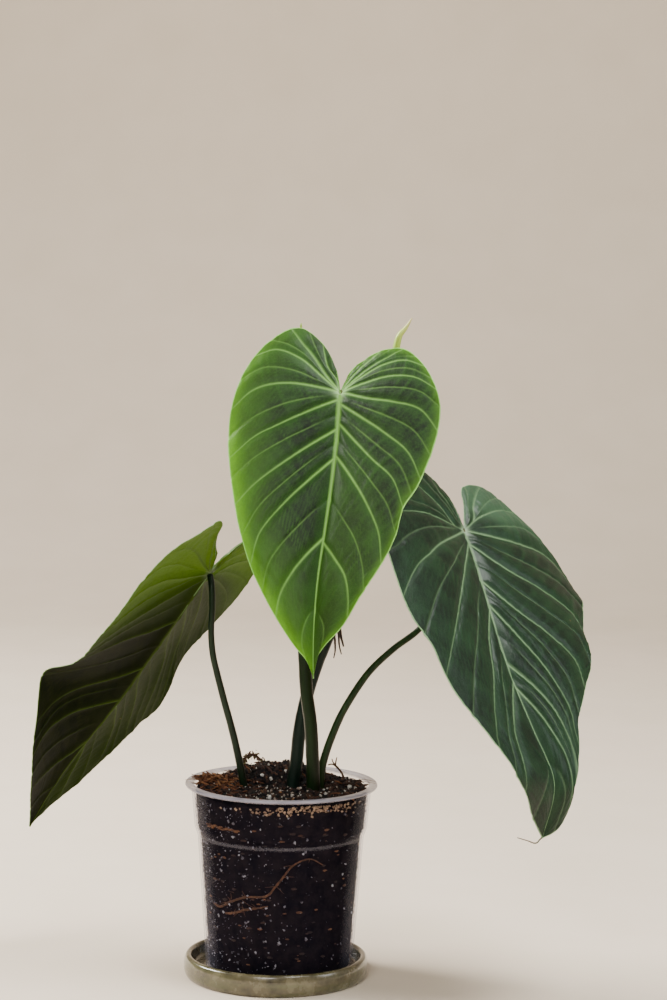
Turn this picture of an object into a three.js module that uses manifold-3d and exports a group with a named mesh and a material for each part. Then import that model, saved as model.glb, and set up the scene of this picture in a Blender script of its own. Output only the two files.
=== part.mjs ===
// Potted splendid philodendron: a clear nursery pot on a stoneware saucer, two stems and three
// heart-shaped leaves. Units are millimetres and +Z is up. The origin is on the pot's axis, on the
// surface that the saucer stands on. -Y points at the viewer and +X to the viewer's right.
import * as THREE from 'three';
import { mergeVertices } from 'three/addons/utils/BufferGeometryUtils.js';
import Module from 'manifold-3d';

const wasm = await Module();
wasm.setup();

// Clearance kept between pieces that touch
const GAP = 0.3;

// Pot: a tapered wall, a stepped upper band and a rolled rim
const RIM_RADIUS = 65;
const RIM_TOP = 132.3;
const LIP_HEIGHT = 2.4;
const BAND_RADIUS = 60.7;
const STEP_RADIUS = 58.4;
const STEP_TOP = 103;
const STEP_FOOT = 97;
const WALL_RADIUS = 56.2;
const BASE_RADIUS = 49.6;
const WALL = 1.2;
const FLOOR = 1.6;
const DRAIN_RADIUS = 3;
const DRAIN_RING_RADIUS = 32;
const DRAIN_COUNT = 6;
const POT_SEGMENTS = 48;

// Outline of the rolled rim: distance outside the band, then height above the lip's foot
const LIP_OUTLINE = [[3.7, 0.2], [4.3, 1.2], [3.8, 2.4]];
const SOIL_SEGMENTS = 36;

// Saucer: the pot stands a little to the right of its centre
const SAUCER_OFFSET = -2.3;
const SAUCER_RADIUS = 62.3;
const SAUCER_HEIGHT = 15;
const SAUCER_RIM = 5.4;
const SAUCER_FLOOR = 6;

// Outlines of its wall: distance in from the outer or the rim radius, then height
const SAUCER_OUTSIDE = [[1.5, 0], [0.3, 3], [0, 7], [0.3, 11], [1.2, 14], [2.8, SAUCER_HEIGHT]];
const SAUCER_INSIDE = [[-0.9, 14.6], [0, 13], [0.6, 8], [2, SAUCER_FLOOR]];

// Soil: clear of the wall by the room that the roots take there
const SOIL_CLEARANCE = 2.1;
const SOIL_EDGE_RADIUS = 55;
const SOIL_EDGE_TOP = 128.6;
const MOUND_HEIGHT = 9;
const MOUND_CENTRE = [-4, 34];
const MOUND_STRETCH = 0.85;
const MOUND_FLAT = 8;
const MOUND_FOOT = 38;
const BROW_START = 44; // radius where the mound begins to fall off towards the wall
const BROW_FALL = 0.5;
const SOIL_RING = 6;

// Lumps of the surface: a wave along x times one along y, and a slanted one, in radians a millimetre
const LUMP_HEIGHT = 0.7;
const LUMP_PHASE = 0.6;
const LUMP_WAVE = [0.31, 0.27];
const LUMP_SLANT = [0.52, -0.35];
const LUMP_SLANT_PART = 0.6;

// Leaves
const BLADE_THICKNESS = 0.8;
const ROOTLET_RADIUS = 0.75;
const DROOP = THREE.MathUtils.degToRad(0.2); // turn of a half blade from trough to margin, per millimetre
const FAN_END = 0.44; // part of the margin whose veins all start at the sinus
const VEIN_SPREAD = 2; // how the other veins crowd towards the sinus
const VEIN_BOW = 0.12; // sideways bow of a vein, as a part of its length
const BLADE_ROWS = 32;
const BLADE_COLUMNS = 5;
const TANGENT_STEP = 0.02; // part of a spine row, for the midrib's direction

// Each spine row is a point of the midrib, then the rise in degrees of the left and the right half
// beside it. Rows are equally spaced, and `sinus` is the row where the stalk joins. `facing` is the
// direction in plan that the upper side looks towards, and `tilt` the lean of the blade across the
// midrib, both from sinus to tip. A margin runs from the sinus round the lobe to the tip: distance
// from the midrib, then distance along it.
const LEAF_CENTRE = {
  spine: [
    [47, -5, 446, 16, 16], [41, -28, 425, 16, 16], [36, -45, 399, 16, 16],
    [34, -57, 370, 16, 16], [31, -69, 341, 16, 16], [27, -79, 311, 16, 16],
    [23, -88, 281, 16, 16], [21, -96, 251, 16, 16], [21, -103, 220, 16, 16],
  ],
  sinus: 2,
  facing: [-106, -102],
  tilt: [0, 0],
  left: [
    [0, 0], [8, -20], [20, -36], [36, -44], [53, -31], [65, -8], [71, 16], [71, 38], [68, 55], [64, 73],
    [56, 97], [47, 117], [36, 135], [24, 153], [12, 169], [5, 177], [2, 183], [0, 189],
  ],
  right: [
    [0, 0], [6, -17], [21, -27], [41, -28], [58, -15], [68, 3], [71, 20], [68, 42], [61, 62], [53, 76],
    [50, 94], [42, 115], [31, 137], [20, 156], [9, 168], [3, 175], [1, 182], [0, 189],
  ],
};
const LEAF_RIGHT = {
  spine: [
    [91, 54, 356, 15, 10], [107, 29, 333, 15, 10], [120, 8, 304, 15, 10],
    [130, -16, 276, 15, 10], [139, -37, 247, 15, 10], [150, -54, 215, 15, 10],
    [164, -67, 183, 15, 10], [178, -75, 149, 15, 10], [171, -76, 113, 15, 10],
  ],
  sinus: 2,
  facing: [-58, -52],
  tilt: [-26, -7],
  left: [
    [0, 0], [0, -15], [6, -31], [25, -37], [47, -33], [67, -22], [83, -6], [93, 14], [96, 36], [92, 60],
    [86, 80], [75, 97], [68, 120], [55, 143], [43, 163], [35, 184], [25, 204], [12, 216], [0, 225],
  ],
  right: [
    [0, 0], [9, -20], [18, -38], [40, -40], [58, -22], [74, -9], [90, 4], [101, 20], [104, 32], [95, 50],
    [87, 72], [83, 94], [75, 115], [58, 135], [43, 150], [33, 168], [22, 181], [15, 192], [14, 206],
    [9, 219], [0, 225],
  ],
};
const LEAF_LEFT = {
  spine: [
    [7, -39, 321, 12, 12], [-23, -23, 301, 12, 12], [-49, -10, 275, 12, 11],
    [-70, 2, 244, 12, 11], [-91, 13, 213, 13, 17], [-112, 23, 182, 6, 36],
    [-135, 33, 152, 0, 21], [-157, 43, 121, -10, 10], [-176, 52, 88, 0, 0],
  ],
  sinus: 2,
  facing: [152, 156],
  tilt: [0, 0],
  left: [
    [0, 0], [6, -10], [15, -31], [26, -51], [46, -51], [64, -34], [76, -10], [84, 14], [88, 42],
    [83, 70], [71, 93], [68, 112], [69, 134], [59, 147], [46, 165], [32, 186], [18, 210], [0, 235],
  ],
  right: [
    [0, 0], [8, -12], [24, -27], [41, -44], [58, -58], [68, -60], [70, -45], [77, -26], [83, 0],
    [87, 32], [86, 56], [80, 82], [72, 108], [63, 132], [52, 158], [38, 182], [20, 208], [0, 235],
  ],
};

// Stems, stalks, roots and twigs: points of the centre line, and the radius at its two ends
const STEM_FRONT = {
  path: [
    [23, -13, 96], [21.8, -13, 130.5], [20.7, -13, 154], [19.3, -12.5, 174.5], [16.4, -11.5, 194.6],
    [14.9, -10.5, 214.7], [12.6, -9, 256], [11, -7, 300], [10.5, -6, 350],
  ],
  radii: [4.6, 4],
};
const STEM_BACK = {
  path: [
    [5, 3, 96], [7.9, 4, 131], [10, 4.5, 147], [11.3, 5, 163], [13.8, 5.5, 179], [17.8, 6, 196],
    [22.8, 7, 212], [28.5, 7, 227], [36.5, 7, 248], [45, 6, 275], [52, 5, 300],
  ],
  radii: [4.6, 4],
};
const PETIOLE_LEFT = {
  path: [
    [-21, -4, 104], [-25.3, -5, 131], [-30.1, -7, 155], [-34.2, -9, 172], [-38.6, -11, 188],
    [-43.9, -14, 209], [-46.5, -16, 221], [-47.8, -17, 236], [-47.3, -17, 254], [-48, -15, 268],
    [-49.2, -11.6, 273.7],
  ],
  radii: [2.7, 2],
};
const PETIOLE_RIGHT = {
  path: [
    [26.4, -3, 104], [26.4, -2, 132], [27.2, -2, 143], [29.4, -2, 152], [32.2, -1, 160.5],
    [38.9, 1, 177], [46.7, 3, 191], [58.6, 6, 208], [74.7, 10, 223], [90.8, 14, 235],
    [104.5, 17, 252], [114.6, 16, 278], [119.7, 8.9, 303.2],
  ],
  radii: [2.9, 1.9],
};
const PETIOLE_CENTRE = {
  path: [[11, -6, 290], [16, -1, 318], [24, 1, 350], [31, -10, 381], [35, -30, 395], [36, -44.4, 398.6]],
  radii: [3.2, 2.1],
};
const SHEATH_FRONT = {
  path: [[10.5, -6, 350.6], [9.5, -5, 395], [9.2, -4, 425], [9, -4, 440]],
  radii: [3.6, 0.7],
};
const SHEATH_BACK = {
  path: [[52.1, 5, 300.5], [61, 4, 350], [68.7, 2, 400], [72, 2, 424], [74.5, 1, 434.5]],
  radii: [3.9, 1.7],
};
const NEW_LEAF_BACK = {
  path: [[72.5, 1.8, 426], [74.6, 1, 434.5], [78.5, 0.6, 439.5], [82.7, 0, 446.4]],
  radii: [1.1, 0.3],
};
const AERIAL_ROOTS = {
  left: {
    path: [[31.5, 7, 236], [34, 4.3, 232.8], [34.8, 2.8, 226], [34.9, 2, 222], [34, 2, 217]],
    radii: [0.9, 0.7],
  },
  middle: {
    path: [
      [33.5, 5.5, 238.5], [36.2, 3.6, 236.6], [37.1, 2.6, 232.6], [37.4, 1.8, 228], [38.1, 1.4, 223.7],
      [39.2, 1.2, 219.8],
    ],
    radii: [0.9, 0.7],
  },
  right: {
    path: [[34.5, 8.5, 240], [37.3, 7, 237.6], [38.6, 6, 231.6], [39.7, 5.5, 227.6], [40.5, 5, 224.5]],
    radii: [1.1, 1],
  },
};
const SHEATH_REMNANT = {
  path: [[34.8, 4.5, 240.5], [37.6, 3.4, 240.2], [40.2, 3, 241.8]],
  radii: [0.8, 0.4],
};
const FORKED_TWIG = {
  stem: { path: [[43.5, 30, 122], [41.9, 30, 130.6], [39.4, 30, 135], [36, 30, 138.7]], radii: [1, 0.8] },
  left: { path: [[36.5, 30, 138.2], [34.7, 30.2, 140.5], [33.8, 30.4, 142.9]], radii: [0.6, 0.4] },
  right: { path: [[36.2, 30, 138.5], [36.6, 29.8, 141.3], [37.3, 29.6, 144.2]], radii: [0.6, 0.4] },
  stub: { path: [[36.5, 30, 138.4], [33.7, 30, 139.2], [31.2, 30.3, 138.6]], radii: [0.6, 0.5] },
};
const MOSSY_TWIG = {
  path: [
    [-31, 36, 124], [-28.6, 38, 131], [-26.8, 40, 138.2], [-25, 41, 141.6], [-20.5, 42, 142.6],
    [-13.7, 43, 138],
  ],
  radii: [1.4, 0.8],
};

// Roots pressed against the wall: degrees round the pot's axis, then height
const WALL_ROOT_LONG = [
  [-149, 55], [-141, 54], [-129, 59], [-115, 64], [-99, 66], [-92, 73], [-87, 79], [-80, 87], [-68, 91],
  [-57, 86],
];
const WALL_ROOT_THINNING = 0.8;
const WALL_ROOT_SHORT = [[-134, 50.5], [-126, 52], [-117, 55], [-107, 57], [-98, 59]];

// Loose pieces on the soil: where they lie, then a grain's radius or the turn of a chip in degrees
const PERLITE = [
  [-13.5, 14, 1.8], [-7.5, 8, 1.6], [-10, -7, 1.5], [-7, -40, 2], [8, -30, 1.4], [46, -6, 2.3],
  [42.5, -12, 1.7], [30, -24, 1.6],
];
const BARK_CHIPS = [
  [-49, 14, 25], [-46, 3, 80], [-40, -14, -40], [-31, -22, 10], [42, 12, 35], [40, -24, -30],
];
const CHIP_SIZE = [6.5, 3, 1.6];
const GRAIN_RINGS = [0.45, 0.85]; // where a grain's underside is sampled, as parts of its radius
const GRAIN_RING_POINTS = 8;

// A smooth curve through evenly numbered points of any dimension, with t from 0 to the last index
function smooth(points, t) {
  const last = points.length - 1;
  const i = Math.min(Math.max(Math.floor(t), 0), last - 1);
  const w = t - i;
  const b = points[i];
  const c = points[i + 1];
  const a = points[i - 1] ?? b.map((value, k) => 2 * value - c[k]);
  const d = points[i + 2] ?? c.map((value, k) => 2 * value - b[k]);
  return b.map((value, k) => {
    const bend = 2 * a[k] - 5 * value + 4 * c[k] - d[k];
    const twist = 3 * value - a[k] - 3 * c[k] + d[k];
    return value + 0.5 * w * (c[k] - a[k] + w * (bend + w * twist));
  });
}

// An indexed geometry of positions only, with shared corners joined and collapsed faces left out
function joined(geometry) {
  const bare = geometry.clone();
  bare.deleteAttribute('normal');
  bare.deleteAttribute('uv');
  const merged = mergeVertices(bare, 1e-4);
  const index = [...merged.index.array];
  const kept = [];
  for (let i = 0; i < index.length; i += 3) {
    const [a, b, c] = index.slice(i, i + 3);
    if (a !== b && b !== c && c !== a) {
      kept.push(a, b, c);
    }
  }
  merged.setIndex(kept);
  return merged;
}

function mesh(vertices, faces) {
  const geometry = new THREE.BufferGeometry();
  geometry.setAttribute('position', new THREE.Float32BufferAttribute(vertices.flat(), 3));
  geometry.setIndex(faces.flat());
  return joined(geometry);
}

function toSolid(geometry) {
  const source = joined(geometry);
  return new wasm.Manifold(new wasm.Mesh({
    numProp: 3,
    vertProperties: new Float32Array(source.attributes.position.array),
    triVerts: new Uint32Array(source.index.array),
  }));
}

function toGeometry(solid) {
  const result = solid.getMesh();
  const geometry = new THREE.BufferGeometry();
  geometry.setAttribute('position', new THREE.BufferAttribute(result.vertProperties, 3));
  geometry.setIndex(new THREE.BufferAttribute(result.triVerts, 1));
  return geometry;
}

// The piece less its tools; where the cut leaves crumbs, only the largest body stays
function carve(geometry, ...tools) {
  const cut = tools.reduce((solid, tool) => solid.subtract(toSolid(tool)), toSolid(geometry));
  const bodies = cut.decompose();
  bodies.sort((one, other) => other.volume() - one.volume());
  return toGeometry(bodies[0]);
}

function fuse(...geometries) {
  return toGeometry(geometries.map(toSolid).reduce((sum, solid) => sum.add(solid)));
}

// A round stalk with flat ends along a smooth line
function stalk({ path, radii }, { grow = 0, sides = 8, pitch = 9 } = {}) {
  const curve = new THREE.CatmullRomCurve3(path.map((point) => new THREE.Vector3(...point)));
  const steps = Math.max(4, Math.round(curve.getLength() / pitch));
  const { normals, binormals } = curve.computeFrenetFrames(steps);
  const vertices = [curve.getPointAt(0).toArray(), curve.getPointAt(1).toArray()];
  const faces = [];
  for (let k = 0; k <= steps; k++) {
    const centre = curve.getPointAt(k / steps);
    const radius = THREE.MathUtils.lerp(radii[0], radii[1], k / steps) + grow;
    for (let j = 0; j < sides; j++) {
      const angle = (2 * Math.PI * j) / sides;
      const point = centre.clone();
      point.addScaledVector(normals[k], radius * Math.cos(angle));
      point.addScaledVector(binormals[k], radius * Math.sin(angle));
      vertices.push(point.toArray());
    }
  }
  const at = (k, j) => 2 + k * sides + (j % sides);
  for (let j = 0; j < sides; j++) {
    faces.push([0, at(0, j + 1), at(0, j)], [1, at(steps, j), at(steps, j + 1)]);
    for (let k = 0; k < steps; k++) {
      faces.push([at(k, j), at(k, j + 1), at(k + 1, j + 1)], [at(k, j), at(k + 1, j + 1), at(k + 1, j)]);
    }
  }
  return mesh(vertices, faces);
}

// Where a point of the flat half blade lies: `share` runs along the margin and `reach` from the
// midrib out to it
function veinPoint(margin, length, share, reach) {
  const [edgeAcross, edgeAlong] = smooth(margin, share * (margin.length - 1));
  const start = length * Math.max(0, (share - FAN_END) / (1 - FAN_END)) ** VEIN_SPREAD;
  const run = edgeAlong - start;
  const bowAcross = 0.5 * edgeAcross + VEIN_BOW * run;
  const bowAlong = start + 0.5 * run - VEIN_BOW * edgeAcross;
  const away = 2 * reach * (1 - reach);
  return [
    away * bowAcross + reach ** 2 * edgeAcross,
    (1 - reach) ** 2 * start + away * bowAlong + reach ** 2 * edgeAlong,
  ];
}

// Length of the midrib from the sinus to the tip
function bladeLength(leaf) {
  return leaf.left.at(-1)[1];
}

// A point of the bent blade; `side` is -1 for the left half and 1 for the right
function bladePoint(leaf, side, across, along) {
  const length = bladeLength(leaf);
  const t = leaf.sinus + (along / length) * (leaf.spine.length - 1 - leaf.sinus);
  const row = smooth(leaf.spine, t);
  const ahead = new THREE.Vector3(...smooth(leaf.spine, t + TANGENT_STEP));
  const behind = new THREE.Vector3(...smooth(leaf.spine, t - TANGENT_STEP));
  const tangent = ahead.sub(behind).normalize();
  const share = THREE.MathUtils.clamp(along / length, 0, 1);
  const facing = THREE.MathUtils.degToRad(THREE.MathUtils.lerp(...leaf.facing, share));
  const tilt = THREE.MathUtils.degToRad(THREE.MathUtils.lerp(...leaf.tilt, share));
  const flat = Math.cos(tilt);
  const sideways = new THREE.Vector3(-Math.sin(facing) * flat, Math.cos(facing) * flat, Math.sin(tilt));
  sideways.addScaledVector(tangent, -sideways.dot(tangent)).normalize();
  const upper = tangent.clone().cross(sideways);
  const rise = THREE.MathUtils.degToRad(side < 0 ? row[3] : row[4]);
  const end = rise - DROOP * across;
  const point = new THREE.Vector3(row[0], row[1], row[2]);
  point.addScaledVector(sideways, (side * (Math.sin(rise) - Math.sin(end))) / DROOP);
  point.addScaledVector(upper, (Math.cos(end) - Math.cos(rise)) / DROOP);
  return point;
}

// The blade's middle surface, upper side out
function bladeSurface(leaf) {
  const length = bladeLength(leaf);
  const vertices = [];
  const faces = [];
  for (const side of [-1, 1]) {
    const margin = side < 0 ? leaf.left : leaf.right;
    const first = vertices.length;
    const at = (i, j) => first + i * (BLADE_COLUMNS + 1) + j;
    for (let i = 0; i <= BLADE_ROWS; i++) {
      for (let j = 0; j <= BLADE_COLUMNS; j++) {
        const [across, along] = veinPoint(margin, length, i / BLADE_ROWS, j / BLADE_COLUMNS);
        vertices.push(bladePoint(leaf, side, across, along).toArray());
      }
    }
    for (let i = 0; i < BLADE_ROWS; i++) {
      for (let j = 0; j < BLADE_COLUMNS; j++) {
        const corners = [at(i, j), at(i + 1, j), at(i + 1, j + 1), at(i, j + 1)];
        const [a, b, c, d] = side > 0 ? corners : corners.reverse();
        faces.push([a, b, c], [a, c, d]);
      }
    }
  }
  return mesh(vertices, faces);
}

// A surface given thickness: two layers joined round the open edge
function thicken(surface, thickness) {
  surface.computeVertexNormals();
  const count = surface.attributes.position.count;
  const vertices = [];
  for (const layer of [0.5, -0.5]) {
    for (let i = 0; i < count; i++) {
      const normal = new THREE.Vector3().fromBufferAttribute(surface.attributes.normal, i);
      const point = new THREE.Vector3().fromBufferAttribute(surface.attributes.position, i);
      vertices.push(point.addScaledVector(normal, layer * thickness).toArray());
    }
  }
  const faces = [];
  const edges = new Map();
  const index = surface.index.array;
  for (let i = 0; i < index.length; i += 3) {
    const corners = [index[i], index[i + 1], index[i + 2]];
    faces.push(corners, corners.map((corner) => corner + count).reverse());
    corners.forEach((corner, k) => {
      const next = corners[(k + 1) % 3];
      edges.set(`${corner} ${next}`, [corner, next]);
    });
  }
  for (const [from, to] of edges.values()) {
    if (!edges.has(`${to} ${from}`)) {
      faces.push([to, from, from + count], [to, from + count, to + count]);
    }
  }
  return mesh(vertices, faces);
}

function blade(leaf, extra = 0) {
  return thicken(bladeSurface(leaf), BLADE_THICKNESS + 2 * extra);
}

function lathe(profile, segments = POT_SEGMENTS) {
  const points = profile.map(([radius, height]) => new THREE.Vector2(radius, height));
  const geometry = new THREE.LatheGeometry(points, segments);
  geometry.rotateX(Math.PI / 2);
  return geometry;
}

// The wall's inner radius at a height
function innerRadius(height) {
  const foot = SAUCER_FLOOR + GAP + FLOOR;
  if (height < STEP_FOOT) {
    return THREE.MathUtils.mapLinear(height, foot, STEP_FOOT, BASE_RADIUS, WALL_RADIUS) - WALL;
  }
  return THREE.MathUtils.mapLinear(height, STEP_TOP, RIM_TOP, STEP_RADIUS, BAND_RADIUS) - WALL;
}

function saucer() {
  const rim = SAUCER_RADIUS - SAUCER_RIM;
  const outside = SAUCER_OUTSIDE.map(([inset, height]) => [SAUCER_RADIUS - inset, height]);
  const inside = SAUCER_INSIDE.map(([inset, height]) => [rim - inset, height]);
  return lathe([[0, 0], ...outside, ...inside, [0, SAUCER_FLOOR]]).translate(SAUCER_OFFSET, 0, 0);
}

function pot() {
  const foot = SAUCER_FLOOR + GAP;
  const lipFoot = RIM_TOP - LIP_HEIGHT;
  const shell = lathe([
    [0, foot], [BASE_RADIUS, foot],
    [WALL_RADIUS, STEP_FOOT], [STEP_RADIUS, STEP_TOP], [BAND_RADIUS, lipFoot],
    ...LIP_OUTLINE.map(([out, rise]) => [BAND_RADIUS + out, lipFoot + rise]),
    [BAND_RADIUS - WALL, RIM_TOP], [STEP_RADIUS - WALL, STEP_TOP], [WALL_RADIUS - WALL, STEP_FOOT],
    [BASE_RADIUS - WALL, foot + FLOOR], [0, foot + FLOOR],
  ]);
  const holes = [];
  for (let i = 0; i < DRAIN_COUNT; i++) {
    const angle = (2 * Math.PI * i) / DRAIN_COUNT;
    const hole = new THREE.CylinderGeometry(DRAIN_RADIUS, DRAIN_RADIUS, 4 * FLOOR, 12);
    hole.rotateX(Math.PI / 2);
    hole.translate(DRAIN_RING_RADIUS * Math.cos(angle), DRAIN_RING_RADIUS * Math.sin(angle), foot);
    holes.push(hole);
  }
  return carve(shell, ...holes);
}

// Height of the soil's surface: level beside the wall, heaped behind the stems, with small lumps
function soilTop(x, y) {
  const away = Math.hypot(MOUND_STRETCH * (x - MOUND_CENTRE[0]), y - MOUND_CENTRE[1]);
  const mound = MOUND_HEIGHT * (1 - THREE.MathUtils.smoothstep(away, MOUND_FLAT, MOUND_FOOT));
  const edge = THREE.MathUtils.smoothstep(Math.hypot(x, y), BROW_START, SOIL_EDGE_RADIUS);
  const wave = Math.sin(LUMP_WAVE[0] * x + LUMP_PHASE) * Math.cos(LUMP_WAVE[1] * y);
  const slant = LUMP_SLANT_PART * Math.sin(LUMP_SLANT[0] * y + LUMP_SLANT[1] * x);
  return SOIL_EDGE_TOP + mound * (1 - BROW_FALL * edge) + LUMP_HEIGHT * (wave + slant);
}

function soil() {
  const foot = SAUCER_FLOOR + 2 * GAP + FLOOR;
  const profile = [[0, foot], [innerRadius(foot) - SOIL_CLEARANCE, foot]];
  for (const height of [STEP_FOOT - 1, STEP_TOP]) {
    profile.push([innerRadius(height) - SOIL_CLEARANCE, height]);
  }
  for (let radius = SOIL_EDGE_RADIUS; radius > 0; radius -= SOIL_RING) {
    profile.push([radius, SOIL_EDGE_TOP]);
  }
  profile.push([0, SOIL_EDGE_TOP]);
  const body = lathe(profile, SOIL_SEGMENTS);
  const position = body.attributes.position;
  for (let i = 0; i < position.count; i++) {
    if (position.getZ(i) > SOIL_EDGE_TOP - 1) {
      position.setZ(i, soilTop(position.getX(i), position.getY(i)));
    }
  }
  const planted = [STEM_FRONT, STEM_BACK, PETIOLE_LEFT, PETIOLE_RIGHT, FORKED_TWIG.stem, MOSSY_TWIG];
  return carve(body, ...planted.map((piece) => stalk(deeper(piece), { grow: GAP })));
}

// The same line with its buried end a little lower, for the hole that it stands in
function deeper(piece) {
  const [first, second] = piece.path.map((point) => new THREE.Vector3(...point));
  const start = first.clone().addScaledVector(second.sub(first).normalize(), -GAP);
  return { ...piece, path: [start.toArray(), ...piece.path.slice(1)] };
}

function wallRoot(line) {
  const path = line.map(([degrees, height]) => {
    const radius = innerRadius(height) - SOIL_CLEARANCE / 2;
    const angle = THREE.MathUtils.degToRad(degrees);
    return [radius * Math.cos(angle), radius * Math.sin(angle), height];
  });
  return stalk({ path, radii: [ROOTLET_RADIUS, ROOTLET_RADIUS * WALL_ROOT_THINNING] }, { pitch: 5 });
}

function forkedTwig() {
  const { stem, left, right, stub } = FORKED_TWIG;
  return fuse(...[stem, left, right, stub].map((piece) => stalk(piece, { pitch: 4 })));
}

// Height at which a loose piece rests on the ground. Each point of its underside is [x, y, depth],
// with the depth below its centre.
function restOn(ground, x, y, underside) {
  const ray = new THREE.Raycaster();
  const heights = underside.map(([alongX, alongY, depth]) => {
    ray.set(new THREE.Vector3(x + alongX, y + alongY, 2 * RIM_TOP), new THREE.Vector3(0, 0, -1));
    return ray.intersectObject(ground)[0].point.z + depth;
  });
  return Math.max(...heights) + GAP;
}

function perliteGrain(ground, [x, y, radius]) {
  const underside = [[0, 0, radius]];
  for (const ring of GRAIN_RINGS) {
    const reach = ring * radius;
    const depth = Math.sqrt(radius ** 2 - reach ** 2);
    for (let k = 0; k < GRAIN_RING_POINTS; k++) {
      const angle = (2 * Math.PI * k) / GRAIN_RING_POINTS;
      underside.push([reach * Math.cos(angle), reach * Math.sin(angle), depth]);
    }
  }
  return new THREE.IcosahedronGeometry(radius, 0).translate(x, y, restOn(ground, x, y, underside));
}

function barkChip(ground, [x, y, turn]) {
  const [length, width, height] = CHIP_SIZE;
  const chip = new THREE.BoxGeometry(length, width, height, 4, 2, 1);
  chip.rotateZ(THREE.MathUtils.degToRad(turn));
  const corners = chip.attributes.position;
  const underside = [];
  for (let i = 0; i < corners.count; i++) {
    underside.push([corners.getX(i), corners.getY(i), height / 2]);
  }
  return chip.translate(x, y, restOn(ground, x, y, underside));
}

const part = new THREE.Group();

function add(name, geometry, color, roughness, metalness = 0) {
  const material = new THREE.MeshStandardMaterial({ color, roughness, metalness });
  const piece = new THREE.Mesh(geometry, material);
  piece.name = name;
  part.add(piece);
}

add('saucer', saucer(), 0x8f8f78, 0.35);
add('pot', pot(), 0xb9b4b8, 0.25);
const soilBody = soil();
add('soil', soilBody, 0x2a1d16, 0.95);

const frontStem = stalk(STEM_FRONT, { grow: GAP });
const backStem = stalk(STEM_BACK, { grow: GAP });
add('stem_front', stalk(STEM_FRONT), 0x1f3a1c, 0.6);
add('stem_back', stalk(STEM_BACK), 0x2a4036, 0.6);
add('petiole_left', carve(stalk(PETIOLE_LEFT), blade(LEAF_LEFT, GAP)), 0x1d3320, 0.6);
add('petiole_right', carve(stalk(PETIOLE_RIGHT), blade(LEAF_RIGHT, GAP), frontStem), 0x2c4a22, 0.6);
add('petiole_centre', carve(stalk(PETIOLE_CENTRE), blade(LEAF_CENTRE, GAP), frontStem), 0x2c4a22, 0.6);
add('leaf_left', blade(LEAF_LEFT), 0x2f4f1c, 0.55);
add('leaf_right', blade(LEAF_RIGHT), 0x1e4026, 0.5);
add('leaf_centre', blade(LEAF_CENTRE), 0x33612a, 0.5);

const rolledLeaf = stalk(deeper(NEW_LEAF_BACK), { grow: GAP, pitch: 3 });
add('sheath_front', stalk(SHEATH_FRONT), 0xb9cf7a, 0.5);
add('sheath_back', carve(stalk(SHEATH_BACK), rolledLeaf), 0xb4cf62, 0.5);
add('new_leaf_back', stalk(NEW_LEAF_BACK, { pitch: 3 }), 0xe6e2a0, 0.5);

for (const [name, line] of Object.entries(AERIAL_ROOTS)) {
  add(`aerial_root_${name}`, carve(stalk(line, { pitch: 3 }), backStem), 0x2a1410, 0.8);
}
add('sheath_remnant', carve(stalk(SHEATH_REMNANT, { pitch: 3 }), backStem), 0x5a3a22, 0.9);
add('wall_root_long', wallRoot(WALL_ROOT_LONG), 0x8a6a48, 0.8);
add('wall_root_short', wallRoot(WALL_ROOT_SHORT), 0x8a6a48, 0.8);
add('forked_twig', forkedTwig(), 0x5a3218, 0.9);
add('mossy_twig', stalk(MOSSY_TWIG, { pitch: 4 }), 0x55502a, 0.95);

const ground = new THREE.Mesh(soilBody);
PERLITE.forEach((spot, i) => {
  add(`perlite_${i + 1}`, perliteGrain(ground, spot), 0xe8e4da, 0.9);
});
BARK_CHIPS.forEach((spot, i) => {
  add(`bark_chip_${i + 1}`, barkChip(ground, spot), 0x8a4a20, 0.9);
});

export default part;
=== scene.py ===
"""The looks of a potted philodendron: three veined leaves, stems and roots in a clear pot on a glazed saucer.

Lengths in this file are millimetres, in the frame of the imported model: +Z up, -Y towards the viewer, the
origin on the pot's axis at the table. make() turns them into metres.
"""
import math

import bmesh
import bpy
import numpy as np
from mathutils import Euler, Matrix, Vector, noise


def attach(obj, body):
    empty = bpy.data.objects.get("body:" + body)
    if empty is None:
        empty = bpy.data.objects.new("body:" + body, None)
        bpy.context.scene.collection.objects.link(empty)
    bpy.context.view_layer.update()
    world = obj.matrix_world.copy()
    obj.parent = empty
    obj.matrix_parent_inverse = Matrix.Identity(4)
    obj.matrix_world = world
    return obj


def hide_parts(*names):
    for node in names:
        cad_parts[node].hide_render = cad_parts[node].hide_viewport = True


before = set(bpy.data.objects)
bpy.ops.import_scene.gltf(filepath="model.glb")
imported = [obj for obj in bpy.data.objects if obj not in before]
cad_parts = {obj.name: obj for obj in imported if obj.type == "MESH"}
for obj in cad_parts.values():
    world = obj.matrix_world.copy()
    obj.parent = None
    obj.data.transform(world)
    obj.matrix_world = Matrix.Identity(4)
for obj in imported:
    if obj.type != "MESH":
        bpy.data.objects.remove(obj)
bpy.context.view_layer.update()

MM = 0.001
rng = np.random.default_rng(11)

# Helpers: curves and meshes


def smooth(points, t):
    """A smooth curve through evenly numbered points, for an array of t from 0 to the last index."""
    p = np.asarray(points, float)
    p = np.vstack([2 * p[0] - p[1], p, 2 * p[-1] - p[-2]])
    t = np.asarray(t, float)
    i = np.clip(np.floor(t).astype(int), 0, len(points) - 2)
    w = (t - i)[..., None]
    a, b, c, d = p[i], p[i + 1], p[i + 2], p[i + 3]
    return b + 0.5 * w * (c - a + w * (2 * a - 5 * b + 4 * c - d + w * (3 * b - a - 3 * c + d)))


def step(low, high, x):
    """0 below low, 1 above high and an S-curve between them; high may be the lower one."""
    t = np.clip((np.asarray(x, float) - low) / (high - low), 0, 1)
    return t * t * (3 - 2 * t)


def hill(x, width):
    return np.exp(-((np.asarray(x, float) / width) ** 2))


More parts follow.
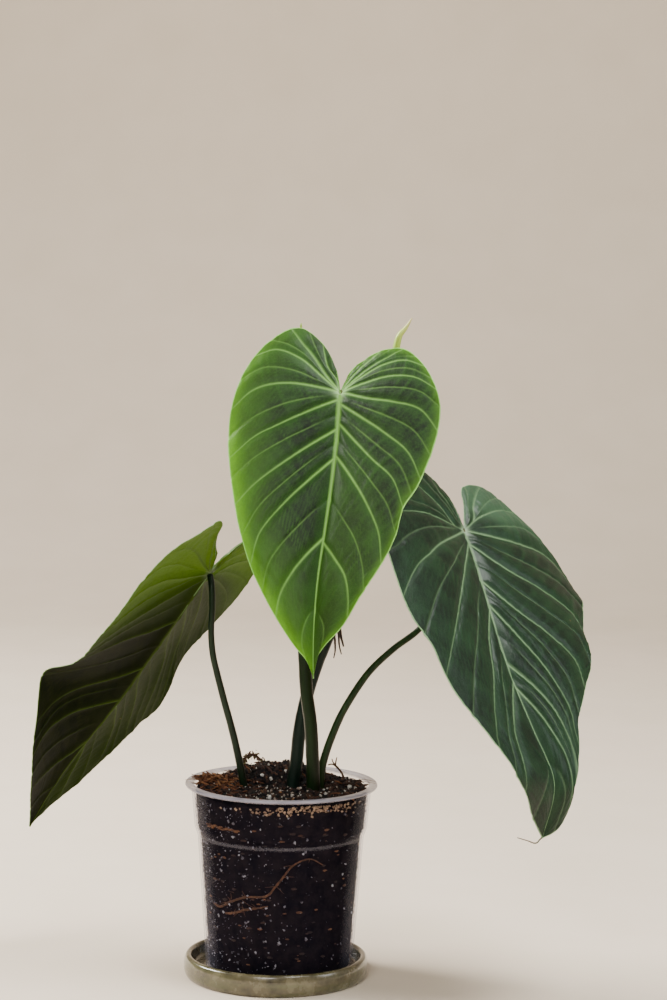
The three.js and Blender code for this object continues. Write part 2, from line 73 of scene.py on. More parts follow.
def fractal(points, size, octaves=3, seed=0.0):
    """Smooth noise from about -1 to 1 at each point, with features of that size."""
    shift = Vector((seed, 2 * seed, -seed))
    return np.array([noise.fractal(Vector(p) / size + shift, 0.7, 2.0, octaves) for p in points])


def route(points, pitch):
    """Points every pitch along a smooth line, as the model's own centre lines run."""
    p = [np.asarray(q, float) for q in points]
    p = [2 * p[0] - p[1]] + p + [2 * p[-1] - p[-2]]
    fine = []
    for a, b, c, d in zip(p, p[1:], p[2:], p[3:]):
        ab, bc, cd = (math.sqrt(max(np.linalg.norm(v), 1e-6)) for v in (b - a, c - b, d - c))
        start = ((b - a) / ab - (c - a) / (ab + bc) + (c - b) / bc) * bc
        end = ((c - b) / bc - (d - b) / (bc + cd) + (d - c) / cd) * bc
        for t in np.linspace(0, 1, 24, endpoint=False):
            curve = (2 * b - 2 * c + start + end) * t**3 + (3 * c - 3 * b - 2 * start - end) * t**2
            fine.append(curve + start * t + b)
    fine = np.array(fine + [p[-2]])
    along = np.r_[0, np.cumsum(np.linalg.norm(np.diff(fine, axis=0), axis=1))]
    places = np.linspace(0, along[-1], max(3, int(along[-1] / pitch) + 1))
    return np.stack([np.interp(places, along, fine[:, k]) for k in range(3)], -1)


class Shape:
    """Vertices, faces and named values per vertex, gathered before they become a mesh."""

    def __init__(self):
        self.points, self.faces, self.slots, self.values = [], [], [], {}
        self.count = 0

    def add(self, points, faces, slot=0, **values):
        """Adds points and faces; a value is a number or one number per point."""
        points = np.asarray(points, float).reshape(-1, 3)
        self.faces += [tuple(self.count + i for i in face) for face in faces]
        self.slots += [slot] * len(faces)
        for name in {*values, *self.values}:
            known = self.values.setdefault(name, [np.zeros(self.count)])
            known.append(np.broadcast_to(np.asarray(values.get(name, 0.0), float).ravel(), len(points)))
        self.points.append(points)
        self.count += len(points)
        return self

    def make(self, name, *materials, weld=0.0):
        """The mesh object; weld joins points nearer than that many millimetres."""
        mesh = bpy.data.meshes.new(name)
        mesh.from_pydata(np.vstack(self.points) * MM, [], self.faces)
        for key, parts in self.values.items():
            data = np.concatenate(parts)
            mesh.attributes.new(key, "FLOAT", "POINT").data.foreach_set("value", data.astype(np.float32))
        for material in materials:
            mesh.materials.append(material)
        if len(materials) > 1:
            mesh.polygons.foreach_set("material_index", self.slots)
        if weld:
            work = bmesh.new()
            work.from_mesh(mesh)
            bmesh.ops.remove_doubles(work, verts=work.verts, dist=weld * MM)
            work.to_mesh(mesh)
            work.free()
        mesh.polygons.foreach_set("use_smooth", [True] * len(mesh.polygons))
        piece = bpy.data.objects.new(name, mesh)
        bpy.context.scene.collection.objects.link(piece)
        return piece


def place(piece, slot, *nodes):
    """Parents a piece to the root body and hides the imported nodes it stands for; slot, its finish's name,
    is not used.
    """
    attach(piece, "root")
    if nodes:
        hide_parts(*nodes)
    return piece


def grid_faces(rows, columns, wrap=False, flip=False):
    """Quads of a rows by columns sheet of points, the columns joined end to end with wrap."""
    faces = []
    for i in range(rows - 1):
        for j in range(columns if wrap else columns - 1):
            k = (j + 1) % columns
            face = (i * columns + j, i * columns + k, (i + 1) * columns + k, (i + 1) * columns + j)
            faces.append(face[::-1] if flip else face)
    return faces


def end_fans(sides, last_ring, first_point, last_point):
    """Triangles that close a tube of rings at both ends."""
    faces = []
    for j in range(sides):
        k = (j + 1) % sides
        faces += [(first_point, k, j), (last_point, last_ring + j, last_ring + k)]
    return faces


def tube(shape, points, radii, sides=20, profile=None, slot=0, seed=0.0, rough=0.0, grain=3.0, **values):
    """Adds a closed round tube along points. profile(angle, share) scales the radius and rough adds noise.

    Each vertex carries share, from 0 at the first point to 1 at the last, and side, how far it faces +X.
    """
    points = np.asarray(points, float)
    count = len(points)
    radii = np.interp(np.linspace(0, 1, count), np.linspace(0, 1, len(radii)), radii)
    tangents = np.gradient(points, axis=0)
    tangents /= np.linalg.norm(tangents, axis=1)[:, None]
    across = np.cross(tangents[0], (0, 1, 0))
    rings, sides_out, shares = [], [], []
    angles = np.linspace(0, 2 * math.pi, sides, endpoint=False)
    for i, (centre, tangent) in enumerate(zip(points, tangents)):
        across = across - tangent * (across @ tangent)
        across /= np.linalg.norm(across)
        other = np.cross(tangent, across)
        out = np.cos(angles)[:, None] * across + np.sin(angles)[:, None] * other
        share = i / (count - 1)
        scale = profile(angles, share) if profile else np.ones(sides)
        rings.append(centre + out * (radii[i] * scale)[:, None])
        sides_out.append(out[:, 0])
        shares.append(np.full(sides, share))
    body = np.vstack(rings)
    if rough:
        middle = np.repeat(points, sides, axis=0)
        body = middle + (body - middle) * (1 + rough * fractal(body, grain, seed=seed))[:, None]
    body = np.vstack([body, points[0], points[-1]])
    faces = grid_faces(count, sides, wrap=True)
    faces += end_fans(sides, (count - 1) * sides, count * sides, count * sides + 1)
    share = np.concatenate([*shares, [0, 1]])
    side = np.concatenate([*sides_out, [0, 0]])
    return shape.add(body, faces, slot, share=share, side=side, **values)


def lathe(shape, profile, segments, slot=0, centre=(0, 0), closed=False, **values):
    """Adds a turned body: profile is (radius, height) points, from axis to axis or closed on itself."""
    profile = np.asarray(profile, float)
    if closed:
        profile = np.vstack([profile, profile[:1]])
    angles = np.linspace(0, 2 * math.pi, segments, endpoint=False)
    x, y = centre
    points = [(x + r * math.cos(a), y + r * math.sin(a), z) for r, z in profile for a in angles]
    return shape.add(points, grid_faces(len(profile), segments, wrap=True), slot, **values)


def rounded(profile, radius, steps=4):
    """The same outline with each inner corner as an arc of about that radius."""
    profile = [np.asarray(p, float) for p in profile]
    out = [profile[0]]
    for before, corner, after in zip(profile, profile[1:], profile[2:]):
        one, two = before - corner, after - corner
        reach = min(radius, 0.45 * np.linalg.norm(one), 0.45 * np.linalg.norm(two))
        start = corner + one / np.linalg.norm(one) * reach
        end = corner + two / np.linalg.norm(two) * reach
        for t in np.linspace(0, 1, steps + 1):
            out.append((1 - t) ** 2 * start + 2 * t * (1 - t) * corner + t * t * end)
    return out + [profile[-1]]


# Helpers: materials


class Paint:
    """A material's node tree, built by short calls that return sockets."""

    def __init__(self, name):
        self.material = bpy.data.materials.new(name)
        self.material.use_nodes = True
        self.tree = self.material.node_tree
        self.tree.nodes.clear()

    def node(self, kind, inputs=(), **settings):
        """A node of that kind, with its settings, and its inputs by name or number."""
        node = self.tree.nodes.new("ShaderNode" + kind)
        for key, value in settings.items():
            setattr(node, key, value)
        for key, value in dict(inputs).items():
            if isinstance(value, bpy.types.NodeSocket):
                self.tree.links.new(value, node.inputs[key])
            else:
                node.inputs[key].default_value = value
        return node

    def math(self, operation, *values, clamp=False):
        return self.node("Math", enumerate(values), operation=operation, use_clamp=clamp).outputs[0]

    def value(self, name):
        return self.node("Attribute", attribute_name=name).outputs["Fac"]

    def place(self):
        return self.node("TexCoord").outputs["Object"]

    def noise(self, size, detail=3.0, roughness=0.55, stretch=(1, 1, 1)):
        """Noise whose features are about size millimetres, 0 to 1, along the object's own axes."""
        spot = self.node("Mapping", {"Vector": self.place(), "Scale": stretch}).outputs[0]
        inputs = {"Vector": spot, "Scale": 1 / (size * MM), "Detail": detail, "Roughness": roughness}
        return self.node("TexNoise", inputs).outputs["Fac"]

    def cells(self, size, feature="F1"):
        """Distance inside cells of about size millimetres: from each middle, or from the edge."""
        inputs = {"Vector": self.place(), "Scale": 1 / (size * MM)}
        return self.node("TexVoronoi", inputs, feature=feature).outputs["Distance"]

    def ramp(self, factor, *stops):
        """A colour or grey along factor: stops are (place, value)."""
        node = self.node("ValToRGB", {"Fac": factor})
        elements = node.color_ramp.elements
        while len(elements) < len(stops):
            elements.new(0.5)
        for element, (spot, value) in zip(elements, stops):
            element.position = spot
            element.color = (*value, 1) if np.size(value) == 3 else (value, value, value, 1)
        return node.outputs["Color"]

    def mix(self, factor, one, two, blend="MIX"):
        colour = [(*c, 1) if isinstance(c, tuple) and len(c) == 3 else c for c in (one, two)]
        node = self.node("Mix", {0: factor, 6: colour[0], 7: colour[1]}, data_type="RGBA", blend_type=blend)
        return node.outputs[2]

    def bump(self, height, depth, strength=1.0):
        return self.node("Bump", {"Height": height, "Distance": depth * MM, "Strength": strength}).outputs[0]

    def surface(self, colour, roughness, normal=None, **extras):
        inputs = {"Base Color": (*colour, 1) if isinstance(colour, tuple) else colour, "Roughness": roughness}
        inputs.update({key.replace("_", " "): value for key, value in extras.items()})
        if normal:
            inputs["Normal"] = normal
        return self.node("BsdfPrincipled", inputs).outputs[0]

    def blend(self, factor, one, two):
        return self.node("MixShader", {0: factor, 1: one, 2: two}).outputs[0]

    def done(self, shader):
        self.node("OutputMaterial", {"Surface": shader})
        return self.material


# Camera and stage: the photograph's standpoint, a pale floor and soft light

CAMERA_PLACE = (32.3, -1864, 506.6)
CAMERA_DOWN = math.radians(5.59)
CAMERA_ROLL = math.radians(0.85)
CAMERA_LENS = 100.84


def camera():
    data = bpy.data.cameras.new("camera")
    data.lens = CAMERA_LENS
    data.sensor_width = 36
    data.clip_end = 50
    holder = bpy.data.objects.new("camera", data)
    aim = Euler((math.pi / 2 - CAMERA_DOWN, 0, 0)).to_matrix() @ Matrix.Rotation(CAMERA_ROLL, 3, "Z")
    holder.matrix_world = Matrix.Translation(Vector(CAMERA_PLACE) * MM) @ aim.to_4x4()
    bpy.context.scene.collection.objects.link(holder)
    bpy.context.scene.camera = holder


def stage():
    """A pale sweep: a floor that bends up into a wall far behind the plant."""
    depth, wall, bend = 2600, 2600, 900
    outline = [(-6000, 0), (depth - bend, 0)]
    for angle in np.linspace(0, math.pi / 2, 13)[1:]:
        outline.append((depth - bend + bend * math.sin(angle), bend * (1 - math.cos(angle))))
    outline.append((depth, wall + 4000))
    points = [(x, y, z) for y, z in outline for x in (-9000, 9000)]
    paint = Paint("stage")
    grain = paint.ramp(paint.noise(90, 2), (0.3, (0.74, 0.63, 0.50)), (0.7, (0.77, 0.66, 0.53)))
    sweep = Shape().add(points, grid_faces(len(outline), 2, flip=True)).make(
        "sweep", paint.done(paint.surface(grain, 0.85)))


def lamp(name, place_mm, target_mm, size, power, colour):
    data = bpy.data.lights.new(name, "AREA")
    data.shape = "DISK"
    data.size = size * MM
    data.energy = power
    data.color = colour
    holder = bpy.data.objects.new(name, data)
    holder.location = Vector(place_mm) * MM
    aim = (Vector(target_mm) - Vector(place_mm)).to_track_quat("-Z", "Y")
    holder.rotation_euler = aim.to_euler()
    bpy.context.scene.collection.objects.link(holder)


def light():
    world = bpy.data.worlds.new("room")
    world.use_nodes = True
    world.node_tree.nodes["Background"].inputs[0].default_value = (0.86, 0.80, 0.74, 1)
    world.node_tree.nodes["Background"].inputs[1].default_value = 0.42
    bpy.context.scene.world = world
    lamp("window", (-1500, 500, 1250), (0, 0, 250), 900, 95, (1.0, 0.97, 0.92))
    lamp("front", (-500, -2200, 1500), (0, 0, 220), 1100, 30, (1.0, 0.97, 0.94))
    lamp("top", (500, -250, 1500), (100, 0, 250), 700, 24, (1.0, 1.0, 0.98))
    lamp("right", (1700, -600, 900), (0, 0, 250), 900, 9, (0.92, 0.96, 1.0))


# Leaves
#
# spine rows are x, y, z and the blade's rise in degrees on its left and right, from the back of the lobes to
# the tip. facing and tilt turn the blade at the stalk and at the tip. left and right are the half outlines
# laid flat, as (across, along) from the stalk. A vein is where it leaves the midrib, three flat points, and
# its share of the outline.

LEAF_CENTRE = {
    "spine": [
        [47, -5, 446, 16, 16], [41, -28, 425, 16, 16], [36, -45, 399, 16, 16], [34, -57, 370, 16, 16],
        [31, -69, 341, 16, 16], [27, -79, 311, 16, 16], [23, -88, 281, 16, 16], [21, -96, 251, 16, 16],
        [21, -103, 220, 16, 16],
    ],
    "facing": (-106, -102),
    "tilt": (0, 0),
    "left": [
        [0, 0], [8, -20], [20, -36], [36, -44], [53, -31], [65, -8], [71, 16], [71, 38], [68, 55], [64, 73],
        [56, 97], [47, 117], [36, 135], [24, 153], [12, 169], [5, 177], [2, 183], [0, 189],
    ],
    "right": [
        [0, 0], [6, -17], [21, -27], [41, -28], [58, -15], [68, 3], [71, 20], [68, 42], [61, 62], [53, 76],
        [50, 94], [42, 115], [31, 137], [20, 156], [9, 168], [3, 175], [1, 182], [0, 189],
    ],
    "veins": {
        "left": [
            (0, 1.5, -5, 3, -10, 5, -15, 0.045), (0, 4, -9, 11, -16, 15, -25, 0.109),
            (0, 11, -10, 21, -21, 31, -31, 0.194), (0, 15, -10, 29, -19, 46, -24, 0.27),
            (0, 19, -2, 38, -2, 57, 3, 0.35), (5, 19, 14, 38, 24, 55, 36, 0.46),
            (25, 17, 38, 33, 52, 48, 67, 0.558), (45, 15, 62, 29, 80, 41, 100, 0.663),
            (98, 9, 110, 17, 123, 23, 137, 0.76),
        ],
        "right": [
            (0, 2, -5, 4, -10, 6, -15, 0.055), (0, 5, -8, 12, -16, 21, -24, 0.125),
            (0, 9, -8, 19, -16, 31, -23, 0.175), (0, 13, -9, 27, -17, 42, -20, 0.233),
            (0, 17, -5, 35, -9, 53, -7, 0.295), (0, 19, 6, 38, 10, 57, 16, 0.381),
            (8, 17, 19, 34, 30, 51, 43, 0.464), (21, 14, 35, 28, 48, 43, 60, 0.533),
            (43, 14, 59, 27, 75, 38, 93, 0.642), (101, 10, 111, 19, 122, 23, 136, 0.746),
        ],
    },
}
LEAF_RIGHT = {
    "spine": [
        [91, 54, 356, 15, 10], [107, 29, 333, 15, 10], [120, 8, 304, 15, 10], [130, -16, 276, 15, 10],
        [139, -37, 247, 15, 10], [150, -54, 215, 15, 10], [164, -67, 183, 15, 10], [178, -75, 149, 15, 10],
        [171, -76, 113, 15, 10],
    ],
    "facing": (-58, -52),
    "tilt": (-26, -7),
    "left": [
        [0, 0], [0, -15], [6, -31], [25, -37], [47, -33], [67, -22], [83, -6], [93, 14], [96, 36], [92, 60],
        [86, 80], [75, 97], [68, 120], [55, 143], [43, 163], [35, 184], [25, 204], [12, 216], [0, 225],
    ],
    "right": [
        [0, 0], [9, -20], [18, -38], [40, -40], [58, -22], [74, -9], [90, 4], [101, 20], [104, 32], [95, 50],
        [87, 72], [83, 94], [75, 115], [58, 135], [43, 150], [33, 168], [22, 181], [15, 192], [14, 206],
        [9, 219], [0, 225],
    ],
    "veins": {
        "left": [
            (0, 0, -6, 1, -12, 2, -20, 0.09), (0, 5, -9, 11, -19, 18, -28, 0.155),
            (0, 14, 1, 25, -12, 40, -22, 0.247), (0, 24, 2, 48, 3, 71, 10, 0.399),
            (0, 24, 16, 48, 32, 70, 49, 0.528), (10, 17, 35, 33, 62, 51, 88, 0.649),
            (64, 13, 87, 22, 111, 36, 133, 0.758), (116, 13, 132, 24, 150, 30, 170, 0.852),
        ],
        "right": [
            (0, 3, -6, 6, -12, 10, -20, 0.07), (0, 12, -8, 18, -20, 27, -31, 0.142),
            (0, 14, -9, 29, -15, 45, -19, 0.21), (0, 26, 2, 51, 3, 77, 5, 0.338),
            (11, 26, 27, 54, 39, 81, 54, 0.525), (41, 22, 61, 44, 80, 62, 103, 0.639),
            (59, 17, 84, 32, 111, 37, 141, 0.761), (103, 14, 120, 23, 140, 25, 162, 0.809),
            (120, 10, 141, 15, 164, 14, 187, 0.917),
        ],
    },
}
LEAF_LEFT = {
    "spine": [
        [7, -39, 321, 12, 12], [-23, -23, 301, 12, 12], [-49, -10, 275, 12, 11], [-70, 2, 244, 12, 11],
        [-91, 13, 213, 13, 17], [-112, 23, 182, 6, 36], [-135, 33, 152, 0, 21], [-157, 43, 121, -10, 10],
        [-176, 52, 88, 0, 0],
    ],
    "facing": (152, 156),
    "tilt": (0, 0),
    "left": [
        [0, 0], [6, -10], [15, -31], [26, -51], [46, -51], [64, -34], [76, -10], [84, 14], [88, 42], [83, 70],
        [71, 93], [68, 112], [69, 134], [59, 147], [46, 165], [32, 186], [18, 210], [0, 235],
    ],
    "right": [
        [0, 0], [8, -12], [24, -27], [41, -44], [58, -58], [68, -60], [70, -45], [77, -26], [83, 0], [87, 32],
        [86, 56], [80, 82], [72, 108], [63, 132], [52, 158], [38, 182], [20, 208], [0, 235],
    ],
    "veins": {
        "left": [
            (0, 2, -11, 2, -22, 7, -26, 0.104), (0, 9, -8, 17, -18, 26, -32, 0.19),
            (0, 15, -6, 32, -14, 50, -24, 0.28), (8, 20, 6, 40, 3, 60, 3, 0.383),
            (8, 23, 13, 48, 24, 70, 38, 0.505), (8, 20, 26, 40, 47, 57, 69, 0.592),
            (31, 25, 51, 47, 74, 59, 104, 0.707), (49, 21, 70, 41, 91, 50, 119, 0.765),
            (88, 14, 105, 29, 121, 41, 139, 0.806), (121, 14, 133, 27, 148, 33, 165, 0.878),
            (158, 7, 171, 10, 185, 13, 199, 0.949),
        ],
        "right": [
            (0, 4, -6, 9, -13, 14, -20, 0.09), (0, 10, -8, 21, -20, 33, -33, 0.2),
            (0, 19, -9, 38, -19, 58, -25, 0.422), (0, 24, 4, 48, 5, 71, 11, 0.51),
            (4, 21, 19, 43, 32, 64, 45, 0.596), (43, 20, 53, 41, 59, 61, 68, 0.636),
            (86, 16, 100, 31, 114, 45, 130, 0.8), (116, 15, 128, 30, 139, 43, 153, 0.856),
            (155, 5, 167, 13, 177, 20, 188, 0.921),
        ],
    },
}
DROOP = math.radians(0.2)  # how much the blade bends down per millimetre across
SINUS_ROW = 2  # the spine row where the stalk joins
TANGENT_STEP = 0.02  # part of a spine row, for the midrib's direction
LINES_PER_MM = 1.0  # mesh lines per millimetre of margin
CROWDING = 0.055  # how far the lines crowd towards the veins and the threads
VEIN_WIDTH = 0.85
THREAD_WIDTH = 0.5  # the fine vein half way between two side veins
HOLLOW_WIDTH = 3.4  # how far the blade stays down beside a vein
HUB_RADIUS = 4.0
SKIN = 0.24  # half the blade's thickness
EDGE_SKIN = 0.16
VEIN_RELIEF = 0.75  # how far a vein stands out underneath
RIPPLE_REACH = 16
RIPPLE_HEIGHT = 0.6
REACHES = np.r_[0, 0.005, 0.012, 0.022, 0.035, 0.05, np.linspace(0.07, 0.97, 44), 0.983, 0.991, 0.996, 1]


def fan(margin, length, veins, share):
    """Five flat points of the mesh line at a share of the margin, from the midrib out, blended between veins.

    Also returns its place between the two veins, the gap between them and the number of the first.
    """
    knots = np.array([0, *(vein[-1] for vein in veins), 1])
    lines = [np.zeros((5, 2))]
    for vein in veins:
        end = smooth(margin, vein[-1] * (len(margin) - 1))
        lines.append(np.array([(0, vein[0]), vein[1:3], vein[3:5], vein[5:7], end], float))
    lines.append(np.full((5, 2), (0, length), float))
    i = int(np.clip(np.searchsorted(knots, share, "right") - 1, 0, len(veins)))
    w = (share - knots[i]) / (knots[i + 1] - knots[i])
    line = (1 - w) * lines[i] + w * lines[i + 1]
    miss = smooth(margin, share * (len(margin) - 1)) - line[-1]
    return line + miss * np.linspace(0, 1, 5)[:, None] ** 2, w, lines[i + 1] - lines[i], i


def blade_point(leaf, side, across, along):
    """Places on the bent blade, and which way its upper side faces there."""
    length = leaf["left"][-1][1]
    t = SINUS_ROW + along / length * (len(leaf["spine"]) - 1 - SINUS_ROW)
    row = smooth(leaf["spine"], t)
    ahead, behind = smooth(leaf["spine"], t + TANGENT_STEP), smooth(leaf["spine"], t - TANGENT_STEP)
    tangent = (ahead - behind)[..., :3]
    tangent /= np.linalg.norm(tangent, axis=-1, keepdims=True)
    share = np.clip(along / length, 0, 1)
    facing = np.radians(leaf["facing"][0] + (leaf["facing"][1] - leaf["facing"][0]) * share)
    tilt = np.radians(leaf["tilt"][0] + (leaf["tilt"][1] - leaf["tilt"][0]) * share)
    sideways = np.stack([-np.sin(facing) * np.cos(tilt), np.cos(facing) * np.cos(tilt), np.sin(tilt)], -1)
    sideways -= (sideways * tangent).sum(-1, keepdims=True) * tangent
    sideways /= np.linalg.norm(sideways, axis=-1, keepdims=True)
    upper = np.cross(tangent, sideways)
    rise = np.radians(row[..., 3] if side < 0 else row[..., 4])
    end = rise - DROOP * across
    over = side * (np.sin(rise) - np.sin(end)) / DROOP
    lift = (np.cos(end) - np.cos(rise)) / DROOP
    points = row[..., :3] + sideways * over[..., None] + upper * lift[..., None]
    normals = upper * np.cos(end)[..., None] - sideways * (side * np.sin(end))[..., None]
    return points, normals


def half_blade(leaf, side):
    """The half's mesh lines, as arrays over (line, reach).

    They are the share of the margin, the reach, the flat place, the distances to the nearest vein and thread,
    how strong the thread is, and the distance to the margin.
    """
    name = "left" if side < 0 else "right"
    margin, veins = leaf[name], leaf["veins"][name]
    length = margin[-1][1]
    knots = [0, *(vein[-1] for vein in veins), 1]
    shares = []
    for a, b in zip(knots, knots[1:]):
        ends = smooth(margin, np.array([a, b]) * (len(margin) - 1))
        count = int(np.clip(LINES_PER_MM * np.linalg.norm(ends[1] - ends[0]), 10, 40))
        u = np.linspace(0, 1, count, endpoint=False)
        shares += list(a + (b - a) * (u - CROWDING * np.sin(4 * math.pi * u)))
    shares.append(1)
    spots, to_vein, to_thread, strength, to_margin = [], [], [], [], []
    for share in shares:
        line, w, gap, i = fan(margin, length, veins, share)
        spot = smooth(line, REACHES * 4)
        way = np.gradient(spot, axis=0)
        way /= np.maximum(np.linalg.norm(way, axis=1, keepdims=True), 1e-9)
        apart = smooth(gap, REACHES * 4)
        width = abs(apart[:, 0] * way[:, 1] - apart[:, 1] * way[:, 0])
        before = w * width if i > 0 else np.full(len(width), 99.0)
        after = (1 - w) * width if i < len(veins) else np.full(len(width), 99.0)
        steps = np.r_[0, np.cumsum(np.linalg.norm(np.diff(spot, axis=0), axis=1))]
        spots.append(spot)
        to_vein.append(np.minimum(before, after))
        to_thread.append(abs(w - 0.5) * width)
        strength.append(step(3, 11, width))
        to_margin.append(steps[-1] - steps)
    reach = np.broadcast_to(REACHES, (len(shares), len(REACHES)))
    share = np.repeat(np.array(shares)[:, None], len(REACHES), axis=1)
    return share, reach, np.array(spots), *(np.array(v) for v in (to_vein, to_thread, strength, to_margin))


def midrib(shape, leaf, width, **values):
    """Adds the midrib: a flattened rod that stands proud of the blade's under side, thinning to the tip."""
    length = leaf["left"][-1][1]
    along = np.linspace(-1.5, 0.985 * length, 120)
    points, normals = blade_point(leaf, -1, 0 * along, along)
    tangents = np.gradient(points, axis=0)
    tangents /= np.linalg.norm(tangents, axis=1)[:, None]
    across = np.cross(normals, tangents)
    sides = 14
    angles = np.linspace(0, 2 * math.pi, sides, endpoint=False)
    half = width * (0.16 + 0.84 * (1 - np.clip(along / length, 0, 1)) ** 1.3)
    rings = [
        p + np.outer(np.cos(angles), a) * h + np.outer(np.sin(angles), n) * (0.18 + 0.30 * h) - n * 0.22 * h
        for p, n, a, h in zip(points, normals, across, half)
    ]
    body = np.vstack([*rings, points[0], points[-1]])
    faces = grid_faces(len(along), sides, wrap=True)
    faces += end_fans(sides, (len(along) - 1) * sides, len(body) - 2, len(body) - 1)
    shape.add(body, faces, 0, **values)


def leaf_shape(leaf, quilt, tone, rib):
    """The blade as one closed body, with its veins in relief.

    quilt is how high it swells between veins, the third argument (side, share, reach, margin distance) how
    much painted light brightens the lamina, as a painted glow of light through the blade or a painted sheen,
    and rib the midrib's half width.
    """
    shape = Shape()
    length = leaf["left"][-1][1]
    for side in (-1, 1):
        share, reach, spot, to_vein, to_thread, strength, to_margin = half_blade(leaf, side)
        rows, lines = share.shape
        spot = spot - np.array([0.25, 0]) * (1 - step(0, 0.03, reach))[..., None]
        points, normals = blade_point(leaf, side, spot[..., 0], spot[..., 1])
        from_midrib = abs(spot[..., 0])
        fade = np.clip(spot[..., 1] / length, 0, 1)
        low = step(-3, 3, spot[..., 1])
        half = rib * (0.16 + 0.84 * (1 - fade) ** 1.3)
        spine = np.exp(-((from_midrib / half) ** 4)) * low
        vein = np.maximum(hill(to_vein, VEIN_WIDTH - 0.5 * reach) * (1 - 0.6 * reach), spine)
        thread = hill(to_thread, THREAD_WIDTH) * step(0.06, 0.35, reach) * (1 - 0.4 * reach) * strength
        hollow = hill(to_vein, HOLLOW_WIDTH) * (1 - 0.3 * reach)
        near_mid = hill(from_midrib, 5) * low
        near = np.maximum(hollow, near_mid)
        gaps = np.linalg.norm(np.diff(spot, axis=0), axis=-1)
        lines_across = np.cumsum(np.r_[np.zeros((1, lines)), gaps], axis=0)
        # The streak noise swells the blade a little and is painted lighter in the material: partly fine
        # veining, partly a painted sheen on the quilting.
        seeds = np.stack([lines_across / 3.2, 1.7 * reach, 0 * reach + 5 * side], -1).reshape(-1, 3)
        streak = fractal(seeds, 1.0, 3, 2.0 + rib).reshape(rows, lines) * step(0, 0.2, reach)
        puff = ((1 - near) * (1 - reach**3) - 0.25 * hill(to_thread, 1.6) * strength + 0.16 * streak) * quilt
        ripple = RIPPLE_HEIGHT * step(RIPPLE_REACH, 0, to_margin) * step(0, 0.1, share) * step(1, 0.85, share)
        points = points + normals * (puff + ripple * np.sin(share * 46 + side))[..., None]
        # The painted-light value: a painted glow of light through the blade or a painted sheen, as each leaf
        # gives it.
        common = {
            "vein": vein, "thread": thread, "near": near, "rim": step(1.0, 0.35, to_margin),
            "hub": hill(np.hypot(spot[..., 0], spot[..., 1]), HUB_RADIUS),
            "tone": tone(side, share, reach, to_margin), "streak": 0.5 + 0.5 * streak,
        }
        first = shape.count
        for layer in (1, -1):
            relief = -0.12 * vein if layer > 0 else (VEIN_RELIEF - 0.45 * reach) * vein + 0.15 * thread
            body = points + normals * (layer * np.where(reach == 1, EDGE_SKIN, SKIN + relief))[..., None]
            flip = (side > 0) == (layer > 0)
            shape.add(body, grid_faces(rows, lines, flip=flip), 0 if layer > 0 else 1, **common)
        top = first + np.arange(rows) * lines + lines - 1
        under = top + rows * lines
        for a, b, c, d in zip(top, top[1:], under[1:], under):
            shape.faces.append((a, b, c, d) if side < 0 else (a, d, c, b))
            shape.slots.append(0)
    midrib(shape, leaf, rib, vein=1.0, near=1.0, streak=0.5)
    return shape


def leaf_paint(name, dark, light, vein, painted_glow, sheen, gleam, shine=0.4):
    """Blade material. The colour after vein is the painted light's, a painted glow of light through the blade
    or a painted sheen, laid on the lamina where the painted-light value is high; gleam is its gloss's
    roughness.
    """
    p = Paint(name)
    patch = p.noise(17, 3, 0.6)
    mottle = p.noise(2.4, 4, 0.65)
    lamina = p.mix(p.ramp(patch, (0.40, 0.0), (0.70, 0.7)), dark, light)
    lamina = p.mix(p.math("MULTIPLY", p.value("near"), 0.7), lamina, light)
    # Partly painted sheen: lighter bands along the streaks, where the quilted blade swells; partly fine
    # veining.
    lamina = p.mix(p.ramp(p.value("streak"), (0.45, 0.0), (0.85, 0.8)), lamina, light)
    # Painted light: the lamina turns to the painted glow or painted sheen colour where the painted-light
    # value is high.
    lamina = p.mix(p.value("tone"), lamina, painted_glow)
    lamina = p.mix(p.math("MULTIPLY", p.ramp(mottle, (0.45, 0.0), (0.75, 1.0)), 0.25), lamina, light)
    net = p.cells(2.2, "DISTANCE_TO_EDGE")
    lines = p.ramp(net, (0.0, 1.0), (0.10, 0.0))
    lamina = p.mix(p.math("MULTIPLY", lines, 0.03), lamina, vein)
    lamina = p.mix(p.math("MULTIPLY", p.value("thread"), 0.35), lamina, vein)
    colour = p.mix(p.math("MULTIPLY", p.value("vein"), 0.95, clamp=True), lamina, vein)
    colour = p.mix(p.math("MULTIPLY", p.value("rim"), 0.8), colour, tuple(1.7 * c for c in vein))
    colour = p.mix(p.value("hub"), colour, tuple(c + 0.2 for c in vein))
    colour = p.mix(p.ramp(p.value("hub"), (0.84, 0.0), (0.92, 1.0)), colour, (0.10, 0.045, 0.02))
    dots = p.ramp(p.cells(11), (0.05, 1.0), (0.09, 0.0))
    scars = p.math("MULTIPLY", dots, p.ramp(patch, (0.60, 0.0), (0.63, 0.8)))
    colour = p.mix(scars, colour, (0.16, 0.10, 0.04))
    grain = p.noise(0.8, 2, 0.6)
    relief = p.math("ADD", p.math("MULTIPLY", grain, 0.35), p.math("MULTIPLY", lines, -0.5))
    normal = p.bump(relief, 0.12, 0.6)
    rough = p.math("ADD", gleam, p.math("MULTIPLY", mottle, 0.14))
    body = p.surface(colour, rough, normal, Sheen_Weight=sheen, Sheen_Roughness=0.45,
                     Sheen_Tint=(0.8, 0.86, 0.84, 1), Specular_IOR_Level=shine)
    # Painted light: the light through the blade is also tinted towards the painted glow there.
    lit = p.math("MULTIPLY_ADD", p.value("tone"), 0.7, 0.12)
    through = p.mix(lit, colour, tuple(1.4 * c for c in painted_glow))
    clear = p.node("BsdfTranslucent", {"Color": through, "Normal": normal}).outputs[0]
    return p.done(p.blend(0.3, body, clear))


